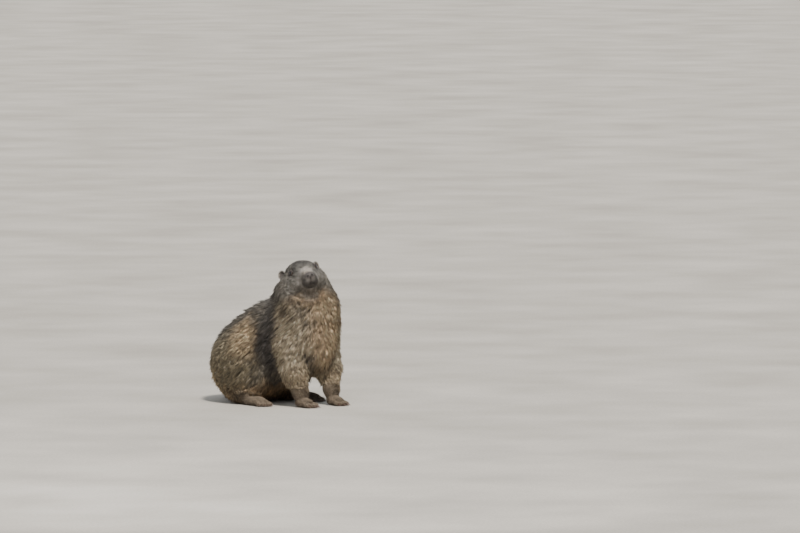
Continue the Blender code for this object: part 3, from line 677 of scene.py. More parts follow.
def refined(obj, chosen):
    """Subdivides the faces whose middles a test chooses."""
    mesh = obj.data
    middles = np.empty(len(mesh.polygons) * 3)
    mesh.polygons.foreach_get("center", middles)
    picks = chosen(middles.reshape(-1, 3))
    select_only(obj)
    bpy.ops.object.mode_set(mode="EDIT")
    bpy.ops.mesh.select_all(action="DESELECT")
    bpy.ops.object.mode_set(mode="OBJECT")
    mesh.polygons.foreach_set("select", picks)
    bpy.ops.object.mode_set(mode="EDIT")
    bpy.ops.mesh.subdivide(number_cuts=1)
    bpy.ops.object.mode_set(mode="OBJECT")
    return int(picks.sum())


add_value(skin.data, np.zeros(len(skin.data.vertices)), "ear")
drawn_on(skin, 3)
print("skin drawn")

# %% [markdown]
# An ear is too thin to survive the voxels, so it is turned up from a profile instead: a dish in
# front, a rounded rim and a back that sinks into the head. Both ears then join the skin.


# %% Ears
def ear_shell(side, word, steps=36):
    """A cupped ear as a closed mesh, from rings round its own axis."""
    matrix, (wide, high) = EAR_FRAMES[side], EAR["half"][1:]
    points = [matrix @ Vector((EAR_PROFILE[0][1], 0, 0))]
    for share, out in EAR_PROFILE[1:-1]:
        for i in range(steps):
            angle = 2 * math.pi * i / steps
            lower = 1 - 0.18 * max(0.0, -math.sin(angle))
            across = wide * share * math.cos(angle) * lower
            points.append(matrix @ Vector((out, across, high * share * math.sin(angle))))
    points.append(matrix @ Vector((EAR_PROFILE[-1][1], 0, 0)))
    faces = []
    rings = len(EAR_PROFILE) - 2
    for i in range(steps):
        j = (i + 1) % steps
        faces.append((0, 1 + i, 1 + j))
        for ring in range(rings - 1):
            a = 1 + ring * steps
            faces.append((a + i, a + steps + i, a + steps + j, a + j))
        a = 1 + (rings - 1) * steps
        faces.append((a + i, len(points) - 1, a + j))
    return shell("ear_" + word, points, faces, "ear", np.ones(len(points)))


def unwrap():
    bpy.ops.uv.smart_project(angle_limit=math.radians(66), island_margin=0.001)


select_only(skin, *[ear_shell(side, word) for side, word in SIDES])
bpy.ops.object.join()
on_all_faces(turn_outward, unwrap)
skin.data.uv_layers[0].name = "OFBake"
bpy.ops.object.duplicate()
root_sheet = bpy.context.object
root_sheet.name = "root_sheet"
print("root sheet:", len(root_sheet.data.polygons), "faces")


# %% Refine the head, the face and the feet
def near_head(points):
    zone = zones(points)
    return (zone["head"] > 0.5) | (zone["feet"] > 0.5)


def near_face(points):
    on_head = in_frame(HEAD, points)
    front = (on_head[:, 0] > 0.022) & (np.abs(on_head[:, 1]) < 0.03)
    return (front & (zones(points)["head"] > 0.5)) | (from_eyes(points) < 0.014)


print("head and feet:", refined(skin, near_head))
drawn_on(skin, 2)
print("face:", refined(skin, near_face))
skin_points = drawn_on(skin, 3)
on_all_faces(bpy.ops.mesh.quads_convert_to_tris, turn_outward)
bpy.ops.object.shade_smooth()
print("skin:", len(skin.data.polygons), "triangles")

# %% [markdown]
# ## Markings
#
# The coat's colours are painted by place, back to front: a base, then soft patches laid over
# it in turn. Each patch has the colour near the skin and the colour of the tips, because a
# grizzled coat is dark below and pale at the ends. Skin and fur both ask this one function,
# so they always agree. The patches are the same on both sides; only the two partings, where
# shade is painted into the gaps of the fur, aren't.

# %% Patches of colour
BASE = ((0.034, 0.030, 0.026), (0.190, 0.165, 0.130))
BODY_PATCHES = {
    "haunch": ((0.085, 0.052, 0.078), (0.055, 0.078, 0.080), (0.034, 0.028, 0.020), (0.43, 0.36, 0.24)),
    "flank": ((0.085, 0.008, 0.155), (0.052, 0.034, 0.040), (0.18, 0.125, 0.07), (0.66, 0.50, 0.32)),
    "rump": ((0.050, 0.125, 0.040), (0.095, 0.055, 0.050), (0.18, 0.115, 0.06), (0.56, 0.41, 0.24)),
    "belly": ((0.0, 0.0, 0.015), (0.110, 0.120, 0.045), (0.20, 0.125, 0.065), (0.40, 0.26, 0.14)),
    "shoulder": ((0.075, -0.112, 0.150), (0.055, 0.042, 0.085), (0.070, 0.052, 0.036), (0.74, 0.61, 0.43)),
    # A dark upright band on each side, between the shoulder and the ribs
    "dark_band_behind_shoulder": ((0.080, -0.058, 0.160), (0.062, 0.026, 0.090), (0.035, 0.03, 0.03), (0.13, 0.115, 0.10)),
    "nape": ((0.0, -0.030, 0.255), (0.075, 0.045, 0.045), (0.040, 0.034, 0.032), (0.20, 0.176, 0.150)),
    "chest": ((-0.005, -0.155, 0.165), (0.038, 0.050, 0.080), (0.145, 0.088, 0.048), (0.70, 0.53, 0.345)),
    "throat": ((-0.012, -0.150, 0.232), (0.050, 0.050, 0.034), (0.16, 0.100, 0.056), (0.72, 0.56, 0.37)),
    "shin": ((0.045, -0.115, 0.040), (0.045, 0.055, 0.055), (0.13, 0.095, 0.06), (0.58, 0.46, 0.31)),
}
TAIL_COLOURS = ((0.11, 0.075, 0.045), (0.34, 0.24, 0.15))
TAIL_END = ((0.03, 0.024, 0.02), (0.09, 0.07, 0.055))
FEET_COLOURS = ((0.040, 0.031, 0.023), (0.20, 0.152, 0.105))
HEAD_COLOURS = ((0.028, 0.024, 0.021), (0.33, 0.305, 0.265))
HEAD_PATCHES = {
    "crown": ((-0.030, 0, 0.022), (0.040, 0.034, 0.020), (0.030, 0.027, 0.025), (0.22, 0.20, 0.175)),
    "cheek": ((-0.006, 0.034, -0.026), (0.030, 0.020, 0.020), (0.055, 0.048, 0.041), (0.52, 0.475, 0.41)),
    "gullet": ((-0.012, 0, -0.066), (0.050, 0.046, 0.030), (0.15, 0.095, 0.052), (0.60, 0.45, 0.30)),
    "chin": ((0.022, 0, -0.050), (0.020, 0.017, 0.012), (0.08, 0.064, 0.052), (0.56, 0.48, 0.40)),
    "eye_ring": ((0.003, 0.0275, 0.0005), (0.0115, 0.010, 0.0080), (0.05, 0.04, 0.035), (0.14, 0.12, 0.10)),
    "bridge": ((0.0310, 0, -0.001), (0.0125, 0.0170, 0.0100), (0.34, 0.285, 0.235), (0.86, 0.76, 0.65)),
    "lip": ((0.0300, 0.0190, -0.0190), (0.0110, 0.0105, 0.0190), (0.24, 0.21, 0.18), (0.80, 0.73, 0.65)),
    "front": ((0.0455, 0, -0.0205), (0.0180, 0.0195, 0.0185), (0.045, 0.039, 0.035), (0.130, 0.115, 0.102)),
}
# Places on the right of the throat where the fur parts, with radii: painted shade in the gap over the fur's
# dark base
SHADED_PARTINGS = (
    ((-0.0854, -0.1174, 0.2162), (0.0100, 0.0100, 0.0085)),
    ((-0.0803, -0.1305, 0.2037), (0.0080, 0.0080, 0.0060)),
)
PARTING_SHADE_COLOUR = np.array((0.030, 0.022, 0.016))
PARTING_SHADE_STRENGTH = 0.85
BODY_EDGE, HEAD_EDGE = 0.46, 0.30


def wobble(points, size):
    """A smooth uneven pattern between -1 and 1, to break an edge up."""
    turned = points @ np.array(((0.8, 0.6, 0.1), (-0.5, 0.7, 0.5), (0.3, -0.4, 0.86))) / size
    return (
        np.sin(turned[:, 0] + 1.7 * np.sin(turned[:, 1]))
        + np.sin(1.9 * turned[:, 1] + 1.3 * np.sin(2.1 * turned[:, 2]))
        + np.sin(2.7 * turned[:, 2] + 1.1 * np.sin(1.6 * turned[:, 0]))
    ) / 3


def painted(colours, patch, local, edge, ragged):
    """The colours with one soft patch laid over them; ragged breaks up its edge."""
    centre, radii, deep, tip = patch
    share = 1 - soft_step(size_in(local, centre, radii) + ragged, 1 - edge, 1 + edge)
    return [a + (np.array(b) - a) * share[:, None] for a, b in zip(colours, (deep, tip))]


def markings(points, zone):
    """(colour by the skin, colour of the tips), one row for each point."""
    folded = points - np.array(BODY_AT)
    folded[:, 0] = np.abs(folded[:, 0])
    rough_edge = 0.16 * wobble(points, 0.0085) + 0.08 * wobble(points, 0.0031)
    body = [np.tile(np.array(colour), (len(points), 1)) for colour in BASE]
    for patch in BODY_PATCHES.values():
        body = painted(body, patch, folded, BODY_EDGE, 1.3 * rough_edge)
    # Painted shade in the partings darkens the roots and the tips alike
    for centre, radii in SHADED_PARTINGS:
        share = 1 - soft_step(size_in(points, centre, radii) + 2 * rough_edge, 0.55, 1.35)
        body = [a + (PARTING_SHADE_COLOUR - a) * PARTING_SHADE_STRENGTH * share[:, None] for a in body]
    on_head = in_frame(HEAD, points)
    on_head[:, 1] = np.abs(on_head[:, 1])
    head = [np.tile(np.array(colour), (len(points), 1)) for colour in HEAD_COLOURS]
    for patch in HEAD_PATCHES.values():
        head = painted(head, patch, on_head, HEAD_EDGE, 0.6 * rough_edge)
    dark_end = soft_step(folded[:, 0] + 0.3 * (0.16 - folded[:, 1]), 0.088, 0.118)[:, None]
    result = []
    for i in range(2):
        tail = np.array(TAIL_COLOURS[i]) * (1 - dark_end) + np.array(TAIL_END[i]) * dark_end
        colour = body[i] + (tail - body[i]) * zone["tail"][:, None]
        colour = colour + (head[i] - colour) * soft_step(zone["head"], 0.15, 0.75)[:, None]
        feet = np.array(FEET_COLOURS[i])
        result.append(colour + (feet - colour) * zone["feet"][:, None])
    return result


print("patches:", len(BODY_PATCHES) + len(HEAD_PATCHES))

# %% [markdown]
# Every coloured piece carries its colours on its points, in one attribute. Putting them there,
# rather than in an image, keeps the model free of pictures and lets the fur share them.

# %% Colour the skin
def add_colours(mesh, colours, name="coat_colour"):
    rows = np.ones((len(colours), 4), np.float32)
    rows[:, :3] = np.clip(colours, 0.004, 0.95)
    mesh.attributes.new(name, "FLOAT_COLOR", "POINT").data.foreach_set("color", rows.ravel())


NOSE_DARK = np.array((0.034, 0.029, 0.027))
LID_DARK = np.array((0.035, 0.028, 0.025))
EAR_SKIN = np.array((0.034, 0.028, 0.025))
EAR_BACK = np.array((0.070, 0.061, 0.053))
EAR_RIM = np.array((0.20, 0.175, 0.15))
PAW_PAD = np.array((0.085, 0.060, 0.052))
# Share of painted shade in the pressed-in mouth, lip split and nostrils
GROOVE_SHADE_PAINTED = 0.90
LIDS_END, CUP_END, RIM_BEGINS = (0.92, 1.10), (0.70, 0.92), (0.86, 1.0)
# Share of the tips' colour in the skin of the body, head, muzzle, feet, forelegs and tail
SHORT_TIPS = (0.15, 0.15, 0.20, 0.50, 0.25, 0.2)
NOSE_FRONT = np.array((0.062, 0, -0.012))


def bareness(points):
    """(nose, lids, ear cups, ear rims, soles): how much of each a point is, 0 to 1."""
    nose = 1 - soft_step(nose_pad.distance(points), 0.0008, 0.0022)
    lids = np.zeros(len(points))
    for matrix in EYE_FRAMES.values():
        at_eye = in_frame(matrix, points)
        round_eye = np.hypot(at_eye[:, 0] / LID["wide"], at_eye[:, 1] / LID["high"])
        lids = np.maximum(lids, (1 - soft_step(round_eye, *LIDS_END)) * (at_eye[:, 2] > 0))
    cup, rim = np.zeros(len(points)), np.zeros(len(points))
    for matrix in EAR_FRAMES.values():
        at_ear = in_frame(matrix, points) / np.array(EAR["half"])
        across = np.hypot(at_ear[:, 1], at_ear[:, 2])
        level = (at_ear[:, 0] > -0.3) * (at_ear[:, 0] < 1.2)
        cup = np.maximum(cup, (1 - soft_step(across, *CUP_END)) * level)
        rim = np.maximum(rim, soft_step(across, *RIM_BEGINS) * (across < 1.12) * level)
    sole = (1 - soft_step(points[:, 2], 0.0015, 0.0045)) * zones(points)["feet"]
    return nose, lids, cup, rim, sole


skin_zone = zones(skin_points)
deep, tips = markings(skin_points, skin_zone)
short = mixed(skin_zone, *SHORT_TIPS)[:, None]
skin_colours = deep + (tips - deep) * short
nose, lids, cup, rim, sole = bareness(skin_points)
ear_share = values_of(skin.data, "ear")
bare_parts = (
    (1 - soft_step(from_eyes(skin_points), 0.0095, 0.0135), LID_DARK),
    (ear_share, EAR_BACK),
    (rim * ear_share, EAR_RIM),
    (nose, NOSE_DARK),
    (lids, LID_DARK),
    (cup, EAR_SKIN),
    (sole, PAW_PAD),
)
for share, colour in bare_parts:
    skin_colours = skin_colours + (colour - skin_colours) * share[:, None]
# Painted shade: the pressed-in mouth, lip split and nostrils are darkened by how deep they lie
painted_groove_shade = soft_step(face_relief(skin_points), 0.0001, 0.0008)[:, None]
skin_colours = skin_colours * (1 - GROOVE_SHADE_PAINTED * painted_groove_shade)
add_colours(skin.data, skin_colours)
add_value(skin.data, np.maximum(nose, sole), "bare")
away = in_frame(HEAD, skin_points) - NOSE_FRONT
reach = np.linalg.norm(away, axis=1)
add_value(skin.data, reach, "from_nose")
directions = (away / np.maximum(reach, 1e-6)[:, None]).astype(np.float32)
layer = skin.data.attributes.new("nose_direction", "FLOAT_VECTOR", "POINT")
layer.data.foreach_set("vector", directions.ravel())
print("skin colours between", skin_colours.min(), "and", skin_colours.max())

# %% [markdown]
# ## Materials
#
# The materials read place and the stored colours, never the camera. Hair is matt and a little
# uneven; the bare nose is pebbled and moister; claws and eyes are horn and wet glass.


# %% Helpers for materials
class Look:
    """A material in the making, with a short word for each kind of node that we use."""

    def __init__(self, name, sockets):
        self.material = bpy.data.materials.new(name)
        self.material.use_nodes = True
        self.nodes = self.material.node_tree.nodes
        self.link = self.material.node_tree.links.new
        self.sockets = self.nodes["Principled BSDF"].inputs
        for socket, value in sockets.items():
            self.sockets[socket].default_value = value

    def node(self, kind, inputs, **settings):
        """A new node; each of its inputs is a plain value or the output of another node."""
        node = self.nodes.new("ShaderNode" + kind)
        for setting, value in settings.items():
            setattr(node, setting, value)
        for socket, value in inputs.items():
            if isinstance(value, bpy.types.NodeSocket):
                self.link(value, node.inputs[socket])
            else:
                node.inputs[socket].default_value = value
        return node

    def stored(self, name, output="Fac"):
        """What the mesh stores on its points under a name."""
        return self.node("Attribute", {}, attribute_name=name).outputs[output]

    def place(self):
        return self.node("TexCoord", {}).outputs["Object"]

    def noise(self, scale, detail=4.0):
        """Noise that is read at the place on the object."""
        inputs = {"Vector": self.place(), "Scale": scale, "Detail": detail}
        return self.node("TexNoise", inputs).outputs["Fac"]

    def ramp(self, value, stops):
        """A colour ramp over a value, from (position, colour) pairs."""
        node = self.node("ValToRGB", {"Fac": value})
        while len(node.color_ramp.elements) < len(stops):
            node.color_ramp.elements.new(0.5)
        for element, (position, colour) in zip(node.color_ramp.elements, stops):
            element.position = position
            element.color = (*colour, 1.0)
        return node.outputs["Color"]

    def coloured(self, colour, *patterns):
        """Sets the base colour; each pattern is a value and the darkest and palest it makes."""
        for value, low, high in patterns:
            grey = self.ramp(value, ((0.25, (low,) * 3), (0.75, (high,) * 3)))
            inputs = {"Factor": 1.0, "A": colour, "B": grey}
            node = self.node("Mix", inputs, data_type="RGBA", blend_type="MULTIPLY")
            colour = node.outputs["Result"]
        self.link(colour, self.sockets["Base Color"])

    def bumped(self, height, depth, strength):
        inputs = {"Height": height, "Distance": depth, "Strength": strength}
        self.link(self.node("Bump", inputs).outputs["Normal"], self.sockets["Normal"])

    def roughened(self, value, low, high):
        """Sets the roughness, from low where the value is 0 to high where it is 1."""
        inputs = {"Value": value, "To Min": low, "To Max": high}
        self.link(self.node("MapRange", inputs).outputs["Result"], self.sockets["Roughness"])


print("materials ready")


# %% The hair's material
def hair_material():
    sheen = {"Sheen Weight": 0.03, "Sheen Roughness": 0.5}
    look = Look("hair", {"Roughness": 0.62, "Specular IOR Level": 0.16, **sheen})
    colour = look.stored("coat_colour", "Color")
    look.coloured(colour, (look.noise(1500.0, 2.0), 0.72, 1.22), (look.noise(95.0), 0.84, 1.12))
    uneven = look.noise(700.0)
    look.roughened(uneven, 0.50, 0.78)
    look.bumped(uneven, 0.0001, 0.5)
    return look.material


hair = hair_material()
print("made", hair.name)


# %% The skin's material, streaked along the lie of the short coat
def skin_material():
    look = Look("skin_and_short_coat", {"Roughness": 0.7, "Specular IOR Level": 0.2})
    along = look.node("Math", {0: look.stored("from_nose"), 1: 3.0}, operation="MULTIPLY")
    streak_inputs = {
        "Vector": look.stored("nose_direction", "Vector"),
        "W": along.outputs["Value"],
        "Scale": 55.0,
        "Detail": 3.0,
    }
    streaks = look.node("TexNoise", streak_inputs, noise_dimensions="4D").outputs["Fac"]
    speckle = look.noise(1300.0, 3.0)
    colour = look.stored("coat_colour", "Color")
    look.coloured(colour, (streaks, 0.62, 1.30), (speckle, 0.82, 1.15))
    bare = look.stored("bare")
    pebbles = look.node("TexVoronoi", {"Vector": look.place(), "Scale": 950.0}).outputs["Distance"]
    heights = {"Factor": bare, "A": streaks, "B": pebbles}
    height = look.node("Mix", heights, data_type="FLOAT").outputs["Result"]
    look.bumped(height, 0.0006, 0.7)
    look.roughened(bare, 0.72, 0.50)
    return look.material


def finished(obj, material, slot_name, *nodes_replaced):
    """Gives a piece its material and its place in the frame; slot_name is not used."""
    obj.data.materials.clear()
    obj.data.materials.append(material)
    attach(obj, "root")
    if nodes_replaced:
        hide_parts(*nodes_replaced)
    return obj


flesh = [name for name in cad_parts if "claw" not in name and "eye" not in name]
finished(skin, skin_material(), "coat_grey", *flesh)
print("the skin replaces", len(flesh), "solids")

# %% [markdown]
# ## Eyes
#
# A marmot's eye is nearly black, so it lives by its highlight. A round ball with a thin wet
# coat gives that. The dark pupil and the brown ring round it are painted by how far each
# point looks away from the eye's axis.


# %% Eyes
def eye_material():
    wet = {"Coat Weight": 0.35, "Coat Roughness": 0.03, "IOR": 1.38}
    look = Look("eye", {"Roughness": 0.12, "Specular IOR Level": 0.25, **wet})
    bands = (
        (0.30, (0.010, 0.008, 0.007)),
        (0.62, (0.012, 0.007, 0.004)),
        (0.72, (0.026, 0.012, 0.006)),
        (0.80, (0.020, 0.009, 0.004)),
        (0.86, (0.003, 0.002, 0.002)),
    )
    look.coloured(look.ramp(look.stored("gaze"), bands), (look.noise(900.0), 0.6, 1.3))
    return look.material


eye_look = eye_material()
for side, word in SIDES:
    bpy.ops.object.select_all(action="DESELECT")
    bpy.ops.mesh.primitive_uv_sphere_add(
        segments=48,
        ring_count=28,
        radius=EYE_RADIUS,
        location=EYE_FRAMES[side].translation,
        rotation=EYE_FRAMES[side].to_euler(),
    )
    eye = bpy.context.object
    eye.name = "eyeball_" + word
    add_value(eye.data, points_of(eye.data)[:, 2] / EYE_RADIUS, "gaze")
    bpy.ops.object.shade_smooth()
    bpy.ops.object.transform_apply(location=True, rotation=True, scale=True)
    finished(eye, eye_look, "eye_dark", "eye_" + word)
    print(eye.name, "at", tuple(round(v, 4) for v in EYE_FRAMES[side].translation))

# %% [markdown]
# The lids are thin rings that lie on the eyeball. Round the eye, the opening is described as an
# angle from its axis: wide at the corners, small above, so that a heavier upper lid gives the
# calm look of the living animal. Each ring sinks into the skin at its outer edge.

# %% Eyelids
# Angles from the eye's axis where the lids begin, where they end, and the slit's slope
LID_CORNER, LID_ABOVE, LID_BELOW = 66.0, 30.0, 38.0
LID_OUTER, LID_SLOPE = 112.0, 8
LID_SECTION = (
    (0.00, 0.00007),
    (0.04, 0.00060),
    (0.14, 0.00105),
    (0.32, 0.00130),
    (0.55, 0.00125),
    (0.80, 0.00080),
    (1.00, 0.00010),
    (0.98, -0.00050),
    (0.50, 0.00005),
)


def opening(angle):
    """How far from the eye's axis the lids begin, in degrees, for a direction round it."""
    tall = LID_ABOVE if math.sin(angle) > 0 else LID_BELOW
    return 1.0 / math.hypot(math.cos(angle) / LID_CORNER, math.sin(angle) / tall)


def eyelids(side, word, steps=56):
    """A closed ring round one eye, with how far each point lies from its inner edge."""
    points, away, faces = [], [], []
    size = len(LID_SECTION)
    for i in range(steps):
        angle = 2 * math.pi * i / steps
        inner = opening(angle - math.radians(side * LID_SLOPE))
        for share, proud in LID_SECTION:
            lean = math.radians(inner + share * (LID_OUTER - inner))
            radius = EYE_RADIUS + proud
            ring = Vector((math.cos(angle), math.sin(angle), 0)) * math.sin(lean)
            points.append(EYE_FRAMES[side] @ ((ring + Vector((0, 0, math.cos(lean)))) * radius))
            away.append(share)
        for j in range(size):
            a, b = i * size + j, i * size + (j + 1) % size
            c, d = (i + 1) % steps * size + (j + 1) % size, (i + 1) % steps * size + j
            faces.append((a, b, c, d))
    return smooth_shell("eyelids_" + word, points, faces, "from_edge", away)


def lid_material():
    look = Look("eyelid", {"Roughness": 0.62, "Specular IOR Level": 0.18})
    stops = (
        (0.0, (0.018, 0.014, 0.013)),
        (0.16, (0.020, 0.016, 0.014)),
        (0.55, (0.026, 0.022, 0.019)),
        (1.0, (0.032, 0.027, 0.023)),
    )
    grain = look.noise(1600.0)
    look.coloured(look.ramp(look.stored("from_edge"), stops), (grain, 0.6, 1.4))
    look.bumped(grain, 0.0003, 0.7)
    return look.material


lid_look = lid_material()
for side, word in SIDES:
    lids_piece = finished(eyelids(side, word), lid_look, "bare_skin")
    print(lids_piece.name, len(lids_piece.data.polygons), "faces")

# %% [markdown]
# ## Claws and whiskers
#
# Both are the same form at different sizes: a tube along a bent path, thick at the root and
# thin at the tip. One helper lofts it, and a table of paths does the rest.


# %% A tapered tube along a path
def tapered(path, radii, sides):
    """(points, triangles) of a closed tube through the path's points."""
    path = [Vector(p) for p in path]
    rings = []
    for i, point in enumerate(path):
        ahead = path[min(i + 1, len(path) - 1)] - path[max(i - 1, 0)]
        across = ahead.cross(Vector((0.1, 0.2, 1.0))).normalized()
        up = across.cross(ahead).normalized()
        for j in range(sides):
            turn = 2 * math.pi * j / sides
            rings.append(point + (across * math.cos(turn) + up * math.sin(turn)) * radii[i])
    faces = []
    for i in range(len(path) - 1):
        for j in range(sides):
            a, b = i * sides + j, i * sides + (j + 1) % sides
            faces += [(a, b + sides, b), (a, a + sides, b + sides)]
    root, tip = len(rings), len(rings) + 1
    rings += [path[0], path[-1] + (path[-1] - path[-2]).normalized() * radii[-1]]
    last = (len(path) - 1) * sides
    for j in range(sides):
        k = (j + 1) % sides
        faces += [(root, j, k), (tip, last + k, last + j)]
    return rings, faces


def many_tapered(name, tubes, sides):
    """One object of several tubes, with how far along its tube each point lies."""
    points, faces, along = [], [], []
    for path, radii in tubes:
        rings, triangles = tapered(path, radii, sides)
        faces += [tuple(index + len(points) for index in face) for face in triangles]
        along += [i / (len(path) - 1) for i in range(len(path)) for _ in range(sides)] + [0, 1]
        points += rings
    return smooth_shell(name, points, faces, "along", along)


print("a tube of 3 points has", len(tapered([(0, 0, 0), (0, 1, 0), (0, 2, 0)], (1, 1, 1), 8)[1]))


# %% Claws
def horn_material():
    look = Look("claw_horn", {"Roughness": 0.34, "Coat Weight": 0.15})
    stops = (
        (0.0, (0.036, 0.020, 0.016)),
        (0.45, (0.030, 0.012, 0.009)),
        (1.0, (0.070, 0.040, 0.026)),
    )
    grain = look.noise(1100.0)
    look.coloured(look.ramp(look.stored("along"), stops), (grain, 0.65, 1.35))
    look.bumped(grain, 0.0002, 0.6)
    return look.material


def claw_tube(kind, side, number):
    """Path and radii of one claw, bent down from the toe's tip almost to the floor."""
    paw, matrix = PAWS[kind], paw_frame(kind, side)
    root, tip = toe_joints(kind, side, number)
    forward = (tip - root).normalized()
    long, thick = paw["claw"], paw["claw_radius"]
    path, radii = [], []
    for i in range(9):
        share = i / 8
        at = tip + forward * (long * (share * 1.12 - 0.12) + 0.0012)
        height = (tip.z + 0.0012) * (1 - share**1.7) + (thick * 0.35 + 0.0004) * share**1.7
        path.append(matrix @ Vector((at.x, at.y, height)))
        radii.append(thick * (1 - 0.86 * share**1.5))
    return path, radii


horn = horn_material()
for kind in PAWS:
    for side, word in SIDES:
        count = len(PAWS[kind]["toes"])
        tubes = [claw_tube(kind, side, number) for number in range(count)]
        claws = many_tapered("claws_" + kind + "_" + word, tubes, 10)
        solids = [f"{kind}_claw_{word}_{number + 1}" for number in range(count)]
        finished(claws, horn, "claw_horn", *solids)
        print(claws.name, "replaces", len(solids))


# %% Whiskers
def whisker_material():
    look = Look("whisker", {"Roughness": 0.42})
    stops = ((0.0, (0.030, 0.024, 0.020)), (0.7, (0.10, 0.085, 0.07)), (1.0, (0.30, 0.27, 0.23)))
    look.coloured(look.ramp(look.stored("along"), stops), (look.noise(800.0), 0.8, 1.2))
    return look.material


WHISKER_ROWS = (
    (0.0400, 0.0130, -0.0190, 0.030),
    (0.0355, 0.0150, -0.0200, 0.036),
    (0.0305, 0.0165, -0.0210, 0.038),
    (0.0390, 0.0140, -0.0240, 0.028),
    (0.0340, 0.0160, -0.0250, 0.034),
    (0.0285, 0.0175, -0.0260, 0.036),
    (0.0360, 0.0150, -0.0290, 0.024),
    (0.0310, 0.0165, -0.0300, 0.028),
    (0.0060, 0.0240, 0.0140, 0.022),
    (0.0020, 0.0270, 0.0120, 0.020),
)
WHISKER_SEED = 7
WHISKER_RADIUS = 0.00017
WHISKER_ROOT_DEPTH = 0.0015
WHISKER_SHARES = np.linspace(0, 1, 9)
draw = np.random.default_rng(WHISKER_SEED)
whiskers = []
for side, word in SIDES:
    for forward, left, height, long in WHISKER_ROWS:
        start = to_world(HEAD, np.array((forward, side * left, height)))[None]
        start = landed(skin_shape, start, WHISKER_ROOT_DEPTH, 4)[0]
        out = np.array((0.10 + 0.35 * draw.random(), side * 0.95, -0.25 + 0.45 * draw.random()))
        back = np.array((-0.60, side * 0.10, -0.30))
        path = []
        for share in WHISKER_SHARES:
            step = out * share * 0.85 + back * share**2 * 0.55
            path.append(start + np.array(HEAD)[:3, :3] @ step * long)
        radii = [WHISKER_RADIUS * (1 - 0.85 * share) for share in WHISKER_SHARES]
        whiskers.append((path, radii))
finished(many_tapered("whiskers", whiskers, 5), whisker_material(), "claw_horn")
print("whiskers:", len(whiskers))

# %% [markdown]
# ## The coat
#
# Fur is what makes this animal, so it is made of real tufts: thin closed spikes, rooted on the
# skin, that follow the lie of the coat. Long hair is bent over the body and pulled together
# into locks; on the face and feet it is short and fine. A table gives each zone its length,
# width and number of tufts, and the zones run together where they meet.

# %% Sizes of the fur: body, head, muzzle, feet, forelegs, tail
FUR_LENGTH = (0.0250, 0.0082, 0.0036, 0.0060, 0.0135, 0.0270)
FUR_WIDTH = (0.00088, 0.00042, 0.00030, 0.00046, 0.00066, 0.00085)
FUR_COUNT = (0.40e6, 2.1e6, 4.2e6, 1.3e6, 0.75e6, 0.60e6)
EAR_FUR_LENGTH = 0.0038
FUR_SEED = 23
BENT_FROM = 0.0088
CLUMP_SPACING = 0.0052
TRESS_SPACING = 0.0190
MOTTLE_SPACING = 0.0046
TRESS_VEER, CLUMP_VEER = 11, 8
TRESS_PROUD, CLUMP_PROUD = (-0.0022, 0.0024), (-0.0012, 0.0038)
CLUMP_LENGTH = (0.78, 1.15)
CLUMP_PULL = (0.45, 0.85)
CLUMP_SHADE = (0.50, 1.30)
MOTTLE_SHADE = (0.36, 1.62)
EAR_CUP_SHARE, EAR_SHADE = 0.60, 0.50
CHEEK_EXTRA = 0.0040
# Share of the length that the fur keeps by an ear or an eye, what it gains further away, and
# the distances between which it does
BY_EAR, GAIN_FROM_EAR, EAR_FADE = 0.35, 0.65, (0.001, 0.012)
BY_EYE, GAIN_FROM_EYE, EYE_FADE = 0.58, 0.42, (0.0075, 0.0130)
TUFT_LENGTH, TUFT_WIDTH, TUFT_SHADE = (0.85, 1.12), (0.7, 1.25), (0.84, 1.16)
TUFT_RISE, TUFT_PROUD = (13, 25), (-0.0008, 0.0012)
FIRST_STEP, FIRST_LEVEL, SECOND_STEP = 0.5, -0.32, 0.52
# Directions of the coat: back and down on the body, down the forelegs, out over the toes
BODY_LIE, LEG_LIE, FOOT_LIE = (0.0, 0.55, -0.84), (0.0, -0.15, -1.0), (0.0, -1.0, -0.25)
HEAD_LIE = (-0.25, 0, -0.10)
# Least height over the floor of a long hair as it is laid, of every hair, and in the mesh
LAID_CLEAR, HAIR_CLEAR, MESH_CLEAR = 0.0012, 0.0006, 0.0003
# A hair whose draw is below the first number ends pale, and above the second it ends dark
PALE_BELOW, DARK_ABOVE = 0.30, 0.68


def triangles_of(mesh):
    """(corner indices, loop indices) of a mesh's triangles."""
    mesh.calc_loop_triangles()
    count = len(mesh.loop_triangles)
    corners, loops = np.empty(count * 3, np.int32), np.empty(count * 3, np.int32)
    mesh.loop_triangles.foreach_get("vertices", corners)
    mesh.loop_triangles.foreach_get("loops", loops)
    return corners.reshape(-1, 3), loops.reshape(-1, 3)


def sown(obj, draw):
    """(roots, places on the unwrap, normals of their faces, whether on an ear)."""
    points = points_of(obj.data)
    corners, loops = triangles_of(obj.data)
    places = np.empty(len(obj.data.loops) * 2)
    obj.data.uv_layers["OFBake"].data.foreach_get("uv", places)
    places = places.reshape(-1, 2)[loops]
    a, b, c = (points[corners[:, i]] for i in range(3))
    area = np.linalg.norm(np.cross(b - a, c - a), axis=1) / 2
    wanted = area * mixed(zones((a + b + c) / 3), *FUR_COUNT)
    count = np.floor(wanted + draw.random(len(wanted))).astype(int)
    pick = np.repeat(np.arange(len(count)), count)
    u, v = draw.random((2, len(pick)))
    over = u + v > 1
    u[over], v[over] = 1 - u[over], 1 - v[over]
    w = 1 - u - v
    roots = a[pick] * w[:, None] + b[pick] * u[:, None] + c[pick] * v[:, None]
    flat = places[pick]
    flat = flat[:, 0] * w[:, None] + flat[:, 1] * u[:, None] + flat[:, 2] * v[:, None]
    on_ear = values_of(obj.data, "ear")[corners[pick, 0]] > 0.5
    return roots, flat, unit(np.cross(b - a, c - a))[pick], on_ear


def unit(rows):
    return rows / np.maximum(np.linalg.norm(rows, axis=1), 1e-9)[:, None]


